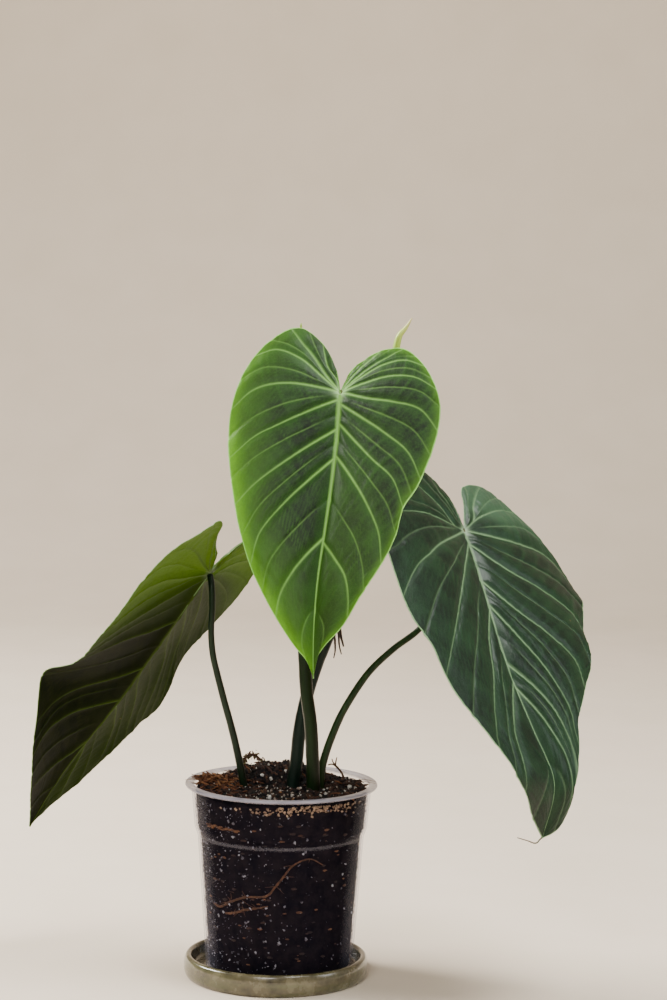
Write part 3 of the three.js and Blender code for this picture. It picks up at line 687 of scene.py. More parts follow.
def leaves():
    # Painted light: a painted glow of light through the blade, wide along the left margin, thin along the
    # right margin and faint over the lower right half.
    bright = leaf_shape(LEAF_CENTRE, 1.8, lambda side, share, reach, edge: (
        (0.55 * hill(edge, 8) + 0.36 * hill(edge, 27)) * step(0.08, 0.5, share) if side < 0
        else (0.35 * hill(edge, 6) + 0.12 * step(0.45, 0.9, share))), 1.9)
    top = leaf_paint("leaf_bright", (0.003, 0.010, 0.002), (0.020, 0.078, 0.007), (0.25, 0.54, 0.11),
                     (0.14, 0.40, 0.001), 0.05, 0.42, 0.3)
    under = leaf_paint("leaf_bright_under", (0.055, 0.12, 0.025), (0.085, 0.17, 0.035), (0.20, 0.34, 0.12),
                       (0.16, 0.31, 0.03), 0.15, 0.55)
    place(bright.make("leaf_centre", top, under, weld=0.01), "leaf_bright", "leaf_centre")

    # Painted light: a painted silvery sheen on the outer part of the upper right lobe.
    dusky = leaf_shape(LEAF_RIGHT, 2.4, lambda side, share, reach, edge: (
        0.55 * step(0.34, 0.22, share) * step(0.2, 0.6, reach) if side > 0 else 0.0 * share), 1.5)
    top = leaf_paint("leaf_dark", (0.0015, 0.011, 0.004), (0.012, 0.052, 0.017), (0.23, 0.38, 0.19),
                     (0.10, 0.20, 0.11), 0.05, 0.33, 0.42)
    under = leaf_paint("leaf_dark_under", (0.035, 0.085, 0.025), (0.06, 0.13, 0.035), (0.15, 0.27, 0.10),
                       (0.10, 0.22, 0.03), 0.15, 0.55)
    place(dusky.make("leaf_right", top, under, weld=0.01), "leaf_dark", "leaf_right")

    # Painted light: a painted glow of light through the blade over its upper part, near the stalk.
    turned_leaf = leaf_shape(LEAF_LEFT, 1.8, lambda side, share, reach, edge: (
        0.85 * step(0.66, 0.46, share) if side > 0 else 0.9 * step(0.56, 0.34, share) + 0.12), 1.3)
    top = leaf_paint("leaf_left_upper", (0.014, 0.052, 0.014), (0.034, 0.105, 0.026), (0.18, 0.34, 0.12),
                     (0.09, 0.2, 0.02), 0.3, 0.45)
    # Painted shade: the under side's near-black colours stand for the shade over most of it; its glow colour
    # is the painted light through the upper part.
    under = leaf_paint("leaf_underside", (0.0015, 0.003, 0.0002), (0.010, 0.013, 0.001),
                       (0.055, 0.095, 0.010), (0.10, 0.20, 0.003), 0.0, 0.5, 0.1)
    place(turned_leaf.make("leaf_left", top, under, weld=0.01), "leaf_underside", "leaf_left")
    tip_thread()


LEAF_TIP_THREAD = [
    [170.8, -76, 113.4], [169.1, -76, 111.8], [167.9, -77, 110.5], [166, -78, 110.2], [162, -79, 111.7],
    [158.3, -80, 113], [154.5, -80, 114.1],
]


def tip_thread():
    """The dried thread that the right leaf's tip ends in."""
    p = Paint("tip_thread")
    colour = p.ramp(p.value("share"), (0.1, (0.10, 0.11, 0.05)), (0.6, (0.16, 0.11, 0.07)),
                    (1.0, (0.07, 0.045, 0.03)))
    dry = p.done(p.surface(colour, 0.7, p.bump(p.noise(0.5, 3), 0.1, 0.5)))
    thread = tube(Shape(), route(LEAF_TIP_THREAD, 0.5), [0.5, 0.42, 0.3], 12)
    place(thread.make("leaf_tip_thread", dry), "dry_husk")


# Stems, stalks, sheaths and roots

STEM_FRONT = [
    [23, -13, 96], [21.8, -13, 130.5], [20.7, -13, 154], [19.3, -12.5, 174.5], [16.4, -11.5, 194.6],
    [14.9, -10.5, 214.7], [12.6, -9, 256], [11, -7, 300], [10.5, -6, 350],
]
STEM_BACK = [
    [5, 3, 96], [7.9, 4, 131], [10, 4.5, 147], [11.3, 5, 163], [13.8, 5.5, 179], [17.8, 6, 196],
    [22.8, 7, 212], [28.5, 7, 227], [36.5, 7, 248], [45, 6, 275], [52, 5, 300],
]
PETIOLE_LEFT = [
    [-21, -4, 104], [-25.3, -5, 131], [-30.1, -7, 155], [-34.2, -9, 172], [-38.6, -11, 188],
    [-43.9, -14, 209], [-46.5, -16, 221], [-47.8, -17, 236], [-47.3, -17, 254], [-48, -15, 268],
    [-49.2, -11.6, 273.7],
]
PETIOLE_RIGHT = [
    [26.4, -3, 104], [26.4, -2, 132], [27.2, -2, 143], [29.4, -2, 152], [32.2, -1, 160.5], [38.9, 1, 177],
    [46.7, 3, 191], [58.6, 6, 208], [74.7, 10, 223], [90.8, 14, 235], [104.5, 17, 252], [114.6, 16, 278],
    [119.7, 8.9, 303.2],
]
PETIOLE_CENTRE = [
    [11, -6, 290], [16, -1, 318], [24, 1, 350], [31, -10, 381], [35, -30, 395], [36, -44.4, 398.6],
]
STALKS = [  # name, skin, centre line and radii, from the foot up
    ("stem_front", "front", STEM_FRONT, [4.6, 4.45, 4.3, 4.1, 4.0]),
    ("stem_back", "back", STEM_BACK, [4.6, 4.45, 4.3, 4.15, 4.0]),
    ("petiole_left", "left", PETIOLE_LEFT, [2.7, 2.6, 2.45, 2.3, 2.15, 2.05, 2.1]),
    ("petiole_right", "right", PETIOLE_RIGHT, [2.9, 2.75, 2.5, 2.3, 2.1, 1.95, 2.0]),
    ("petiole_centre", "right", PETIOLE_CENTRE, [3.2, 2.9, 2.6, 2.3, 2.15, 2.1]),
]
SHEATH_FRONT = [[10.5, -6, 350.6], [9.5, -5, 395], [9.2, -4, 425], [9, -4, 442]]
SHEATH_BACK = [[52.1, 5, 300.5], [61, 4, 350], [68.7, 2, 400], [72, 2, 424], [74.5, 1, 434.5]]
NEW_LEAF = [[72.5, 1.8, 426], [74.6, 1, 434.5], [78.5, 0.6, 439.5], [82.7, 0, 446.4]]
AERIAL_ROOTS = {
    "left": ([[31.5, 7, 236], [34, 4.3, 232.8], [34.8, 2.8, 226], [34.9, 2, 222], [34, 2, 217]], [0.9, 0.7]),
    "middle": ([[33.5, 5.5, 238.5], [36.2, 3.6, 236.6], [37.1, 2.6, 232.6], [37.4, 1.8, 228],
                [38.1, 1.4, 223.7], [39.2, 1.2, 219.8]], [0.9, 0.7]),
    "right": ([[34.5, 8.5, 240], [37.3, 7, 237.6], [38.6, 6, 231.6], [39.7, 5.5, 227.6], [40.5, 5, 224.5]],
              [1.1, 1.0]),
}
SHEATH_REMNANT = [[34.8, 4.5, 240.5], [37.6, 3.4, 240.2], [40.2, 3, 241.8]]


def stalk_paint(name, shade, lit, fleck, flush_and_shade):
    """Stalk skin: darker and lighter streaks and small pale flecks, with a darker brown flush on the +X side
    that is partly the stalk's own reddish colour and partly painted shade on the side turned from the window
    lamp.
    """
    p = Paint(name)
    streak = p.noise(5, 4, 0.6, stretch=(1, 1, 0.12))
    side = p.math("MULTIPLY_ADD", p.value("side"), 0.5, 0.5)
    colour = p.mix(p.ramp(streak, (0.35, 0.0), (0.7, 1.0)), shade, lit)
    # Partly painted shade: the +X side, turned from the window lamp, is darkened and browned.
    colour = p.mix(p.math("MULTIPLY", p.ramp(side, (0.45, 0.0), (0.95, 1.0)), 0.75), colour, flush_and_shade)
    spots = p.ramp(p.cells(1.6), (0.05, 1.0), (0.2, 0.0))
    colour = p.mix(p.math("MULTIPLY", spots, 0.22), colour, fleck)
    normal = p.bump(p.noise(1.1, 3, 0.6, stretch=(1, 1, 0.3)), 0.25, 0.5)
    return p.done(p.surface(colour, 0.36, normal, Specular_IOR_Level=0.2))


def ridged(depth, ribs=7):
    return lambda angles, share: 1 + depth * np.cos(ribs * angles + 2 * share)


def stalks():
    # The last colour of each skin is the brown flush on the +X side, partly painted shade.
    front = stalk_paint("stem_front_skin", (0.0015, 0.009, 0.001), (0.005, 0.023, 0.002), (0.05, 0.09, 0.03),
                        (0.009, 0.006, 0.002))
    back = stalk_paint("stem_back_skin", (0.002, 0.010, 0.006), (0.009, 0.024, 0.016), (0.05, 0.09, 0.06),
                       (0.006, 0.012, 0.009))
    left = stalk_paint("petiole_left_skin", (0.003, 0.010, 0.004), (0.008, 0.026, 0.009), (0.04, 0.07, 0.03),
                       (0.010, 0.009, 0.005))
    right = stalk_paint("petiole_right_skin", (0.008, 0.024, 0.006), (0.026, 0.060, 0.014),
                        (0.06, 0.11, 0.04), (0.014, 0.012, 0.006))
    skins = {"front": front, "back": back, "left": left, "right": right}
    for seed, (name, skin, path, radii) in enumerate(STALKS, 1):
        thick = name.startswith("stem")
        sides, pitch, grain_size = (32, 1.6, 9) if thick else (28, 1.4, 8)
        stalk = tube(Shape(), route(path, pitch), radii, sides, ridged(0.012) if thick else None, seed=seed,
                     rough=0.03, grain=grain_size)
        slot = f"{'stem' if thick else 'petiole'}_{skin}_skin"
        place(stalk.make(name, skins[skin]), slot, name)


def growth():
    """The pale sheaths of new growth and the rolled leaf that comes out of one."""
    p = Paint("sheath")
    streak = p.noise(3, 4, 0.6, stretch=(1, 1, 0.08))
    colour = p.mix(p.ramp(streak, (0.35, 0.0), (0.7, 1.0)), (0.26, 0.40, 0.05), (0.44, 0.56, 0.11))
    colour = p.mix(p.ramp(p.value("share"), (0.0, 1.0), (0.8, 0.0)), colour, (0.10, 0.22, 0.05))
    clear = p.node("BsdfTranslucent", {"Color": colour}).outputs[0]
    skin = p.surface(colour, 0.4, p.bump(streak, 0.3, 0.4))
    sheath = p.done(p.blend(0.25, skin, clear))

    def keeled(angles, share):
        return 1 + 0.10 * hill(np.angle(np.exp(1j * (angles - 1.2))), 0.35) * (1 - share)

    shape = tube(Shape(), route(SHEATH_FRONT, 1.2), [3.6, 3.1, 2.2, 1.5, 0.6], 28, keeled)
    place(shape.make("sheath_front", sheath), "sheath", "sheath_front")
    shape = tube(Shape(), route(SHEATH_BACK, 1.2), [3.9, 3.9, 3.7, 3.4, 3.0, 1.9], 28, keeled)
    place(shape.make("sheath_back", sheath), "sheath", "sheath_back")

    p = Paint("new_leaf")
    colour = p.ramp(p.value("share"), (0.0, (0.28, 0.46, 0.04)), (0.55, (0.46, 0.56, 0.10)),
                    (1.0, (0.56, 0.48, 0.20)))
    skin = p.surface(colour, 0.35, p.bump(p.noise(1, 3, stretch=(1, 1, 0.2)), 0.15, 0.4))
    rolled = tube(Shape(), route(NEW_LEAF, 0.5), [2.3, 2.0, 1.3, 0.3], 24,
                  lambda angles, share: 1 + 0.14 * angles / 6.3)
    place(rolled.make("new_leaf_back", p.done(skin)), "new_leaf", "new_leaf_back")


def roots():
    p = Paint("aerial_root")
    colour = p.ramp(p.noise(1.5, 4), (0.3, (0.012, 0.006, 0.005)), (0.75, (0.055, 0.026, 0.018)))
    dark = p.done(p.surface(colour, 0.75, p.bump(p.noise(0.6, 3), 0.3, 0.8)))
    for i, (name, (path, radii)) in enumerate(AERIAL_ROOTS.items()):
        root = tube(Shape(), route(path, 0.5), [*radii, 0.55 * radii[-1]], 18, rough=0.12, grain=1.5,
                    seed=6 + i)
        place(root.make(f"aerial_root_{name}", dark), "aerial_root", f"aerial_root_{name}")
    p = Paint("dry_husk")
    colour = p.ramp(p.noise(1.2, 4), (0.3, (0.08, 0.035, 0.018)), (0.75, (0.22, 0.11, 0.06)))
    husk = p.done(p.surface(colour, 0.8, p.bump(p.noise(0.5, 3), 0.3, 0.8)))
    scale = tube(Shape(), route(SHEATH_REMNANT, 0.4), [0.8, 0.7, 0.35], 16,
                 lambda angles, share: 0.55 + 0.5 * abs(np.cos(angles)), rough=0.15, grain=1)
    place(scale.make("sheath_remnant", husk), "dry_husk", "sheath_remnant")


# Pot and saucer

SAUCER_CENTRE = (-2.3, 0)
SAUCER_OUTLINE = [
    (0, 0), (60.8, 0), (62, 3), (62.3, 7), (62.0, 11), (61.1, 14), (59.5, 15), (57.8, 14.6), (56.9, 13),
    (56.3, 8), (54.9, 6), (0, 6),
]
POT_OUTER = [
    (47.9, 6.3), (49.6, 6.3), (56.2, 97), (58.4, 103), (60.7, 129.9), (64.4, 130.1), (65, 131.1),
    (64.5, 132.3),
]
POT_INNER = [(59.5, 132.3), (57.2, 103), (55, 97), (48.4, 7.9)]
POT_FLOOR_RADIUS = POT_INNER[-1][0]
POT_FLOOR = (6.4, 7.85)  # the floor's under side and top
RAMP_TOP = 0.14  # metres: heights on the plastic's ramps are shares of this
DRAIN_RING_RADIUS = 32
DRAIN_RADIUS = 3
DRAIN_COUNT = 6


def clear_plastic():
    """Thin clear plastic: see-through from the front, milky at the lip, the step and the edges."""
    p = Paint("clear_plastic")
    haze = p.noise(14, 3, 0.6)
    height = p.node("SeparateXYZ", {0: p.place()}).outputs["Z"]
    share = p.math("DIVIDE", height, RAMP_TOP)
    lip = p.ramp(share, (0.924, 0.0), (0.932, 0.40), (0.940, 0.60))
    ledge = p.ramp(share, (0.690, 0.0), (0.697, 0.06), (0.706, 0.06), (0.715, 0.0))
    film = p.math("MULTIPLY", p.math("ADD", lip, ledge), p.math("MULTIPLY_ADD", haze, 0.8, 0.6))
    skin = p.surface((0.42, 0.41, 0.50), p.math("MULTIPLY_ADD", haze, 0.15, 0.12), IOR=1.49)
    clear = p.node("BsdfTransparent", {"Color": (0.93, 0.925, 0.94, 1)}).outputs[0]
    facing = p.node("LayerWeight", {"Blend": 0.5}).outputs["Facing"]
    edge = p.ramp(facing, (0.45, 0.0), (0.80, 0.10), (1.0, 0.34))
    return p.done(p.blend(p.math("ADD", film, edge, clamp=True), clear, skin))


def pot_floor(material):
    """The pot's flat floor with its ring of drain holes."""
    disc = Shape()
    low, high = POT_FLOOR
    lathe(disc, [(0, low), (POT_FLOOR_RADIUS, low), (POT_FLOOR_RADIUS, high), (0, high)], 120)
    floor = disc.make("pot_floor", material, weld=0.01)
    cutters = Shape()
    for i in range(DRAIN_COUNT):
        turn = 2 * math.pi * i / DRAIN_COUNT
        spot = (DRAIN_RING_RADIUS * math.cos(turn), DRAIN_RING_RADIUS * math.sin(turn))
        lathe(cutters, [(0, 4), (DRAIN_RADIUS, 4), (DRAIN_RADIUS, 10), (0, 10)], 24, centre=spot)
    cutter = cutters.make("drain_cutter", weld=0.01)
    cut = floor.modifiers.new("drain", "BOOLEAN")
    cut.object = cutter
    bpy.context.view_layer.update()
    solid = bpy.data.meshes.new_from_object(floor.evaluated_get(bpy.context.evaluated_depsgraph_get()))
    floor.modifiers.clear()
    floor.data = solid
    solid.polygons.foreach_set("use_smooth", [False] * len(solid.polygons))
    bpy.data.objects.remove(cutter)
    return floor


def dense(profile, pitch):
    """The same outline with points at most pitch apart."""
    out = [np.asarray(profile[0], float)]
    for a, b in zip(profile, profile[1:]):
        a, b = np.asarray(a, float), np.asarray(b, float)
        count = max(1, int(np.linalg.norm(b - a) / pitch))
        out += [a + (b - a) * k / count for k in range(1, count + 1)]
    return out


def pot():
    material = clear_plastic()
    wall = Shape()
    outline = dense(rounded(POT_OUTER + POT_INNER + POT_OUTER[:1], 0.7, 3), 6)
    lathe(wall, outline[:-1], 180, closed=True)
    place(wall.make("pot", material, weld=0.01), "clear_plastic", "pot")
    place(pot_floor(material), "clear_plastic")


def saucer():
    shape = Shape()
    lathe(shape, rounded(SAUCER_OUTLINE, 1.2, 4), 180, centre=SAUCER_CENTRE)
    p = Paint("glazed_stoneware")
    cloud = p.noise(11, 4, 0.6)
    rings = p.noise(5, 2, 0.5, stretch=(0.15, 0.15, 1))
    colour = p.ramp(cloud, (0.3, (0.030, 0.024, 0.010)), (0.5, (0.085, 0.072, 0.034)),
                    (0.72, (0.17, 0.15, 0.085)))
    colour = p.mix(p.ramp(rings, (0.45, 0.0), (0.75, 0.5)), colour, (0.065, 0.085, 0.022))
    specks = p.ramp(p.cells(2.4), (0.10, 1.0), (0.19, 0.0))
    some = p.ramp(p.noise(6, 2), (0.52, 0.0), (0.6, 1.0))
    colour = p.mix(p.math("MULTIPLY", specks, some), colour, (0.045, 0.035, 0.02))
    normal = p.bump(p.math("ADD", rings, p.math("MULTIPLY", cloud, 0.5)), 0.5, 0.35)
    glaze = p.surface(colour, p.math("MULTIPLY_ADD", cloud, 0.2, 0.16), normal, Coat_Weight=0.7,
                      Coat_Roughness=0.1)
    place(shape.make("saucer", p.done(glaze), weld=0.01), "glazed_stoneware", "saucer")


# Soil: the mix that fills the pot, and what lies on it

SOIL_CLEARANCE = 1.1
WALL_GAP = 0.25  # between the clear wall and the line that grains and roots are placed from
SOIL_EDGE_RADIUS = 55
SOIL_EDGE_TOP = 128.6
MOUND_HEIGHT = 9
MOUND_CENTRE = (-4, 34)
MOUND_STRETCH = 0.85
MOUND_FLAT = 8
MOUND_FOOT = 38
LUMP_HEIGHT = 0.7
SOIL_FOOT = 8.3
CRUMBS = 1300
COIR_CHIPS = 520
FIBRES = 210
PERLITE_SPECKS = 520
WALL_SPECKS = 1500
WALL_BITS = 260
BAND_GRAINS = 330  # the pale band under the lip
BAND_MIDDLE = -70  # degrees round the pot
STREAK_GRAINS = 26  # the brown streak at the upper left
STREAK_START = -148  # degrees round the pot
STREAK_STEP = 1.15
STREAK_HEIGHT = 109
ROOT_HAIRS = 16
MOSS_SCALES = 210


def soil_top(x, y):
    """Height of the soil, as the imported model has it."""
    away = np.hypot(MOUND_STRETCH * (x - MOUND_CENTRE[0]), y - MOUND_CENTRE[1])
    mound = MOUND_HEIGHT * (1 - step(MOUND_FLAT, MOUND_FOOT, away))
    brow = 1 - 0.5 * step(0.8 * SOIL_EDGE_RADIUS, SOIL_EDGE_RADIUS, np.hypot(x, y))
    lumps = np.sin(0.31 * x + 0.6) * np.cos(0.27 * y) + 0.6 * np.sin(0.52 * y - 0.35 * x)
    return SOIL_EDGE_TOP + mound * brow + LUMP_HEIGHT * lumps


def soil_wall(height):
    """Radius of the soil's side at a height."""
    radii, heights = zip(*reversed(POT_INNER))
    return np.interp(height, heights, radii) - SOIL_CLEARANCE


def soil():
    turns, side_rings, top_rings = 240, 70, 62
    angles = np.linspace(0, 2 * math.pi, turns, endpoint=False)
    points = []
    heights = np.linspace(SOIL_FOOT, SOIL_EDGE_TOP - 1.5, side_rings)
    for height in heights:
        radius = soil_wall(height)
        points.append(np.stack([radius * np.cos(angles), radius * np.sin(angles), 0 * angles + height], -1))
    for radius in np.linspace(SOIL_EDGE_RADIUS, 0.5, top_rings):
        x, y = radius * np.cos(angles), radius * np.sin(angles)
        points.append(np.stack([x, y, soil_top(x, y) + 0.8 * heap(x, y)], -1))
    body = np.vstack(points)
    lumps = fractal(body, 5, 4, 3.0) + 0.6 * fractal(body, 1.7, 3, 9.0)
    wall = np.arange(len(body)) < len(heights) * turns
    out = body * (1, 1, 0)
    out /= np.maximum(np.linalg.norm(out, axis=1), 1)[:, None]
    shift = np.where(wall[:, None], out * (0.3 * lumps - 0.3)[:, None], (0, 0, 1) * (1.1 * lumps)[:, None])
    body = body + shift
    faces = grid_faces(len(points), turns, wrap=True)
    faces += end_fans(turns, (len(points) - 1) * turns, len(body), len(body) + 1)
    body = np.vstack([body, (0, 0, SOIL_FOOT), (0, 0, soil_top(0, 0))])
    p = Paint("potting_mix")
    fine = p.noise(2.6, 3, 0.6)
    coarse = p.noise(8, 3, 0.6)
    colour = p.ramp(fine, (0.30, (0.002, 0.0017, 0.002)), (0.55, (0.008, 0.006, 0.007)),
                    (0.80, (0.030, 0.017, 0.014)))
    colour = p.mix(p.ramp(coarse, (0.45, 0.0), (0.7, 0.6)), colour, (0.004, 0.005, 0.010))
    dust = p.ramp(p.cells(2.2), (0.06, 1.0), (0.13, 0.0))
    few = p.ramp(p.noise(9, 2), (0.50, 0.0), (0.62, 1.0))
    colour = p.mix(p.math("MULTIPLY", dust, few), colour, (0.14, 0.13, 0.14))
    normal = p.bump(fine, 0.5, 0.5)
    pressed = p.value("pressed")
    # Painted light: a lighter bluish-grey veil on the soil's side against the clear wall, standing in for
    # light scattered in the milky plastic.
    haze = p.ramp(coarse, (0.35, (0.008, 0.008, 0.014)), (0.65, (0.022, 0.017, 0.021)))
    colour = p.mix(p.math("MULTIPLY", pressed, 0.65), colour, haze)
    skin = p.surface(colour, 0.95, normal, Specular_IOR_Level=p.math("MULTIPLY_ADD", pressed, -0.2, 0.22))
    shape = Shape().add(body, faces, pressed=np.r_[wall, True, False])
    place(shape.make("soil", p.done(skin)), "potting_mix", "soil")


def ball():
    """Points and faces of a coarse unit ball, for grains."""
    work = bmesh.new()
    bmesh.ops.create_icosphere(work, subdivisions=2, radius=1)
    points = np.array([v.co for v in work.verts])
    faces = [tuple(v.index for v in f.verts) for f in work.faces]
    work.free()
    return points, faces


BALL, BALL_FACES = ball()
# Where the stems stand: x, y and the radius kept free of litter
PLANTED = ((21.8, -13, 5.2), (7.9, 4, 5.2), (-25.3, -5, 3.4), (26.4, -2, 3.4))


def turned(lean=math.pi):
    """A random rotation about Z, leaning by up to that angle."""
    spin = rng.uniform(0, 2 * math.pi)
    return np.array(Euler((rng.uniform(-lean, lean), rng.uniform(-lean, lean), spin)).to_matrix())


def grain(shape, centre, size, uneven=0.35, lean=math.pi, facing=None, roll=0.0, **values):
    """Adds an irregular grain with half-lengths size.

    facing turns its X axis to that angle, and roll is how far it may turn about that axis. Without facing it
    lies anyhow, leaning by up to lean.
    """
    lumps = 1 + uneven * fractal(BALL + rng.uniform(-50, 50, 3), 0.9, 2)
    if facing is None:
        spin = turned(lean)
    else:
        spin = np.array(Matrix.Rotation(facing, 3, "Z") @ Matrix.Rotation(rng.uniform(-roll, roll), 3, "X"))
    values.setdefault("tint", rng.uniform())
    return shape.add((BALL * lumps[:, None] * size) @ spin.T + centre, BALL_FACES, **values)


def heap(x, y):
    """Extra height of the loose litter over the packed soil, heaped at the left rim and on the right."""
    left = 4.2 * hill(np.hypot(x + 51, 0.8 * (y - 2)), 15)
    right = 2.4 * hill(np.hypot(x - 44, y - 4), 12)
    return left + right


def litter(x, y):
    """Height of the litter over the soil."""
    return soil_top(x, y) + heap(x, y)


def free_spot(reach):
    """A random place on the soil that no stem stands in."""
    while True:
        x, y = rng.uniform(-reach, reach, 2)
        if math.hypot(x, y) < reach and all(math.hypot(x - a, y - b) > c for a, b, c in PLANTED):
            return x, y


def tinted(name, *stops, rough=0.85, depth=0.3):
    """A matt material whose colour runs along each grain's tint, with a finer mottle."""
    p = Paint(name)
    base = p.ramp(p.value("tint"), *stops)
    mottle = p.ramp(p.noise(1.1, 4, 0.7), (0.3, 0.55), (0.7, 1.25))
    colour = p.mix(1.0, base, mottle, "MULTIPLY")
    return p.done(p.surface(colour, rough, p.bump(p.noise(0.5, 3, 0.7), depth, 0.8)))


def crumbs():
    """Crumbs of the mix all over its surface."""
    shape = Shape()
    for _ in range(CRUMBS):
        x, y = free_spot(56.5)
        size = rng.uniform(0.6, 1.9) * np.array([1, rng.uniform(0.6, 1), rng.uniform(0.45, 0.8)])
        z = litter(x, y) + rng.uniform(-0.2, 0.7) - 3 * step(54, 57, math.hypot(x, y))
        grain(shape, (x, y, z), size)
    paint = tinted("soil_crumbs", (0.0, (0.004, 0.003, 0.003)), (0.5, (0.014, 0.006, 0.004)),
                   (0.85, (0.045, 0.017, 0.010)), (1.0, (0.11, 0.05, 0.026)))
    place(shape.make("soil_crumbs", paint), "potting_mix")


def coir():
    """Flat chips of coir and bark husk: orange-brown along the left rim, dark red-brown on the right."""
    shape = Shape()
    made = 0
    while made < COIR_CHIPS:
        x, y = free_spot(58)
        left, right = hill(math.hypot(x + 47, 0.8 * y), 21), hill(math.hypot(x - 42, y), 18)
        if rng.uniform() > 0.06 + left + 0.6 * right:
            continue
        made += 1
        size = np.array([rng.uniform(1.6, 4.4), rng.uniform(0.5, 1.3), rng.uniform(0.25, 0.6)])
        lift = rng.uniform(0.2, 1.6 + 1.6 * left)
        tint = np.clip(rng.normal(0.35 + 0.45 * left - 0.15 * right, 0.2), 0, 1)
        grain(shape, (x, y, litter(x, y) + lift), size, 0.45, 0.5, tint=tint)
    paint = tinted("coir", (0.0, (0.010, 0.004, 0.003)), (0.4, (0.045, 0.013, 0.006)),
                   (0.7, (0.16, 0.050, 0.016)), (1.0, (0.36, 0.16, 0.06)), depth=0.5)
    place(shape.make("coir", paint), "bark")


LEFT_RIM_FIBRES = ((-6, 134.0, 14), (-2, 133.6, 10), (3, 134.2, 8))  # y, height and length
RIGHT_RIM_FIBRES = ((-4, 133.8), (0, 134.4))  # y and height


def fibres():
    """Thin fibres that stick out of the mix, a few of them over the rim."""
    shape = Shape()
    for _ in range(FIBRES):
        x, y = free_spot(57)
        rim = math.hypot(x + 50, 0.7 * y) < 20 or math.hypot(x - 46, y) < 14
        length = rng.uniform(4, 9) if rim else rng.uniform(2.5, 6)
        turn, curl = rng.uniform(0, 2 * math.pi), rng.uniform(-1.5, 1.5)
        start = np.array([x, y, litter(x, y) - 0.5])
        rise = rng.uniform(0.15, 0.85)
        path = [start]
        for part in range(3):
            way = turn + curl * part / 2
            ahead = np.array([math.cos(way), math.sin(way), rise * (1 - 0.75 * part)])
            path.append(path[-1] + length / 3 * ahead)
        if any(math.hypot(*q[:2]) > 63 for q in path):
            continue
        tube(shape, route(path, 1.2), [rng.uniform(0.14, 0.3), 0.08], 6, tint=rng.uniform())
    for y, z, length in LEFT_RIM_FIBRES:
        path = [(-55, y, z), (-60, y - 1, z + 0.8), (-55 - length * 0.7, y - 2, z + 0.4)]
        tube(shape, route(path, 1), [0.3, 0.12], 6, tint=0.8)
    for y, z in RIGHT_RIM_FIBRES:
        path = [(50, y, z), (57, y - 1, z + 0.5), (63.5, y - 1, z - 0.6)]
        tube(shape, route(path, 1), [0.25, 0.1], 6, tint=0.6)
    paint = tinted("fibres", (0.0, (0.02, 0.008, 0.005)), (0.5, (0.09, 0.035, 0.016)),
                   (1.0, (0.30, 0.16, 0.07)))
    place(shape.make("fibres", paint), "bark")


PERLITE = [
    (-13.5, 14, 1.8), (-7.5, 8, 1.6), (-10, -7, 1.5), (-7, -40, 2), (8, -30, 1.4), (46, -6, 2.3),
    (42.5, -12, 1.7), (30, -24, 1.6),
]
BARK_CHIPS = [(-49, 14, 25), (-46, 3, 80), (-40, -14, -40), (-31, -22, 10), (42, 12, 35), (40, -24, -30)]


def perlite():
    """White perlite: the larger grains and many small specks."""
    shape = Shape()
    for x, y, radius in PERLITE:
        z = litter(x, y) + 0.45 * radius
        grain(shape, (x, y, z), radius * np.array([0.85, 0.72, 0.6]), 0.5, tint=rng.uniform(0.5, 1))
    for k in range(PERLITE_SPECKS):
        x, y = free_spot(55)
        if rng.uniform() > 0.12 + hill(math.hypot(x - 6, y + 24), 34):
            continue
        size = rng.uniform(0.2, 0.7) if k % 8 else rng.uniform(0.7, 1.2)
        grain(shape, (x, y, litter(x, y) + 0.9 + 0.3 * size), size * np.array([1, 0.8, 0.65]), 0.9)
    paint = tinted("perlite", (0.0, (0.36, 0.26, 0.21)), (0.5, (0.60, 0.54, 0.48)), (1.0, (0.78, 0.76, 0.72)))
    place(shape.make("perlite", paint), "perlite", *(f"perlite_{k + 1}" for k in range(len(PERLITE))))


def bark():
    """Larger bark chips half sunk in the litter."""
    shape = Shape()
    for x, y, degrees in BARK_CHIPS:
        z = litter(x, y) + 0.9
        grain(shape, (x, y, z), np.array([3.4, 1.5, 0.8]), 0.4, facing=math.radians(degrees))
    paint = tinted("bark_chips", (0.0, (0.10, 0.032, 0.014)), (1.0, (0.26, 0.10, 0.04)), depth=0.6)
    place(shape.make("bark_chips", paint), "bark", *(f"bark_chip_{k + 1}" for k in range(len(BARK_CHIPS))))


def on_wall(degrees, height, inset=0.0):
    """A point on the soil's side, that far in from the clear wall's face."""
    radius = soil_wall(height) + SOIL_CLEARANCE - WALL_GAP - inset
    angle = math.radians(degrees)
    return np.array([radius * math.cos(angle), radius * math.sin(angle), height])


def wall_grain(shape, degrees, height, inset, size, uneven, **values):
    """Adds a grain that lies flat against the clear wall."""
    centre = on_wall(degrees, height, inset)
    grain(shape, centre, np.array(size), uneven, facing=math.radians(degrees), **values)


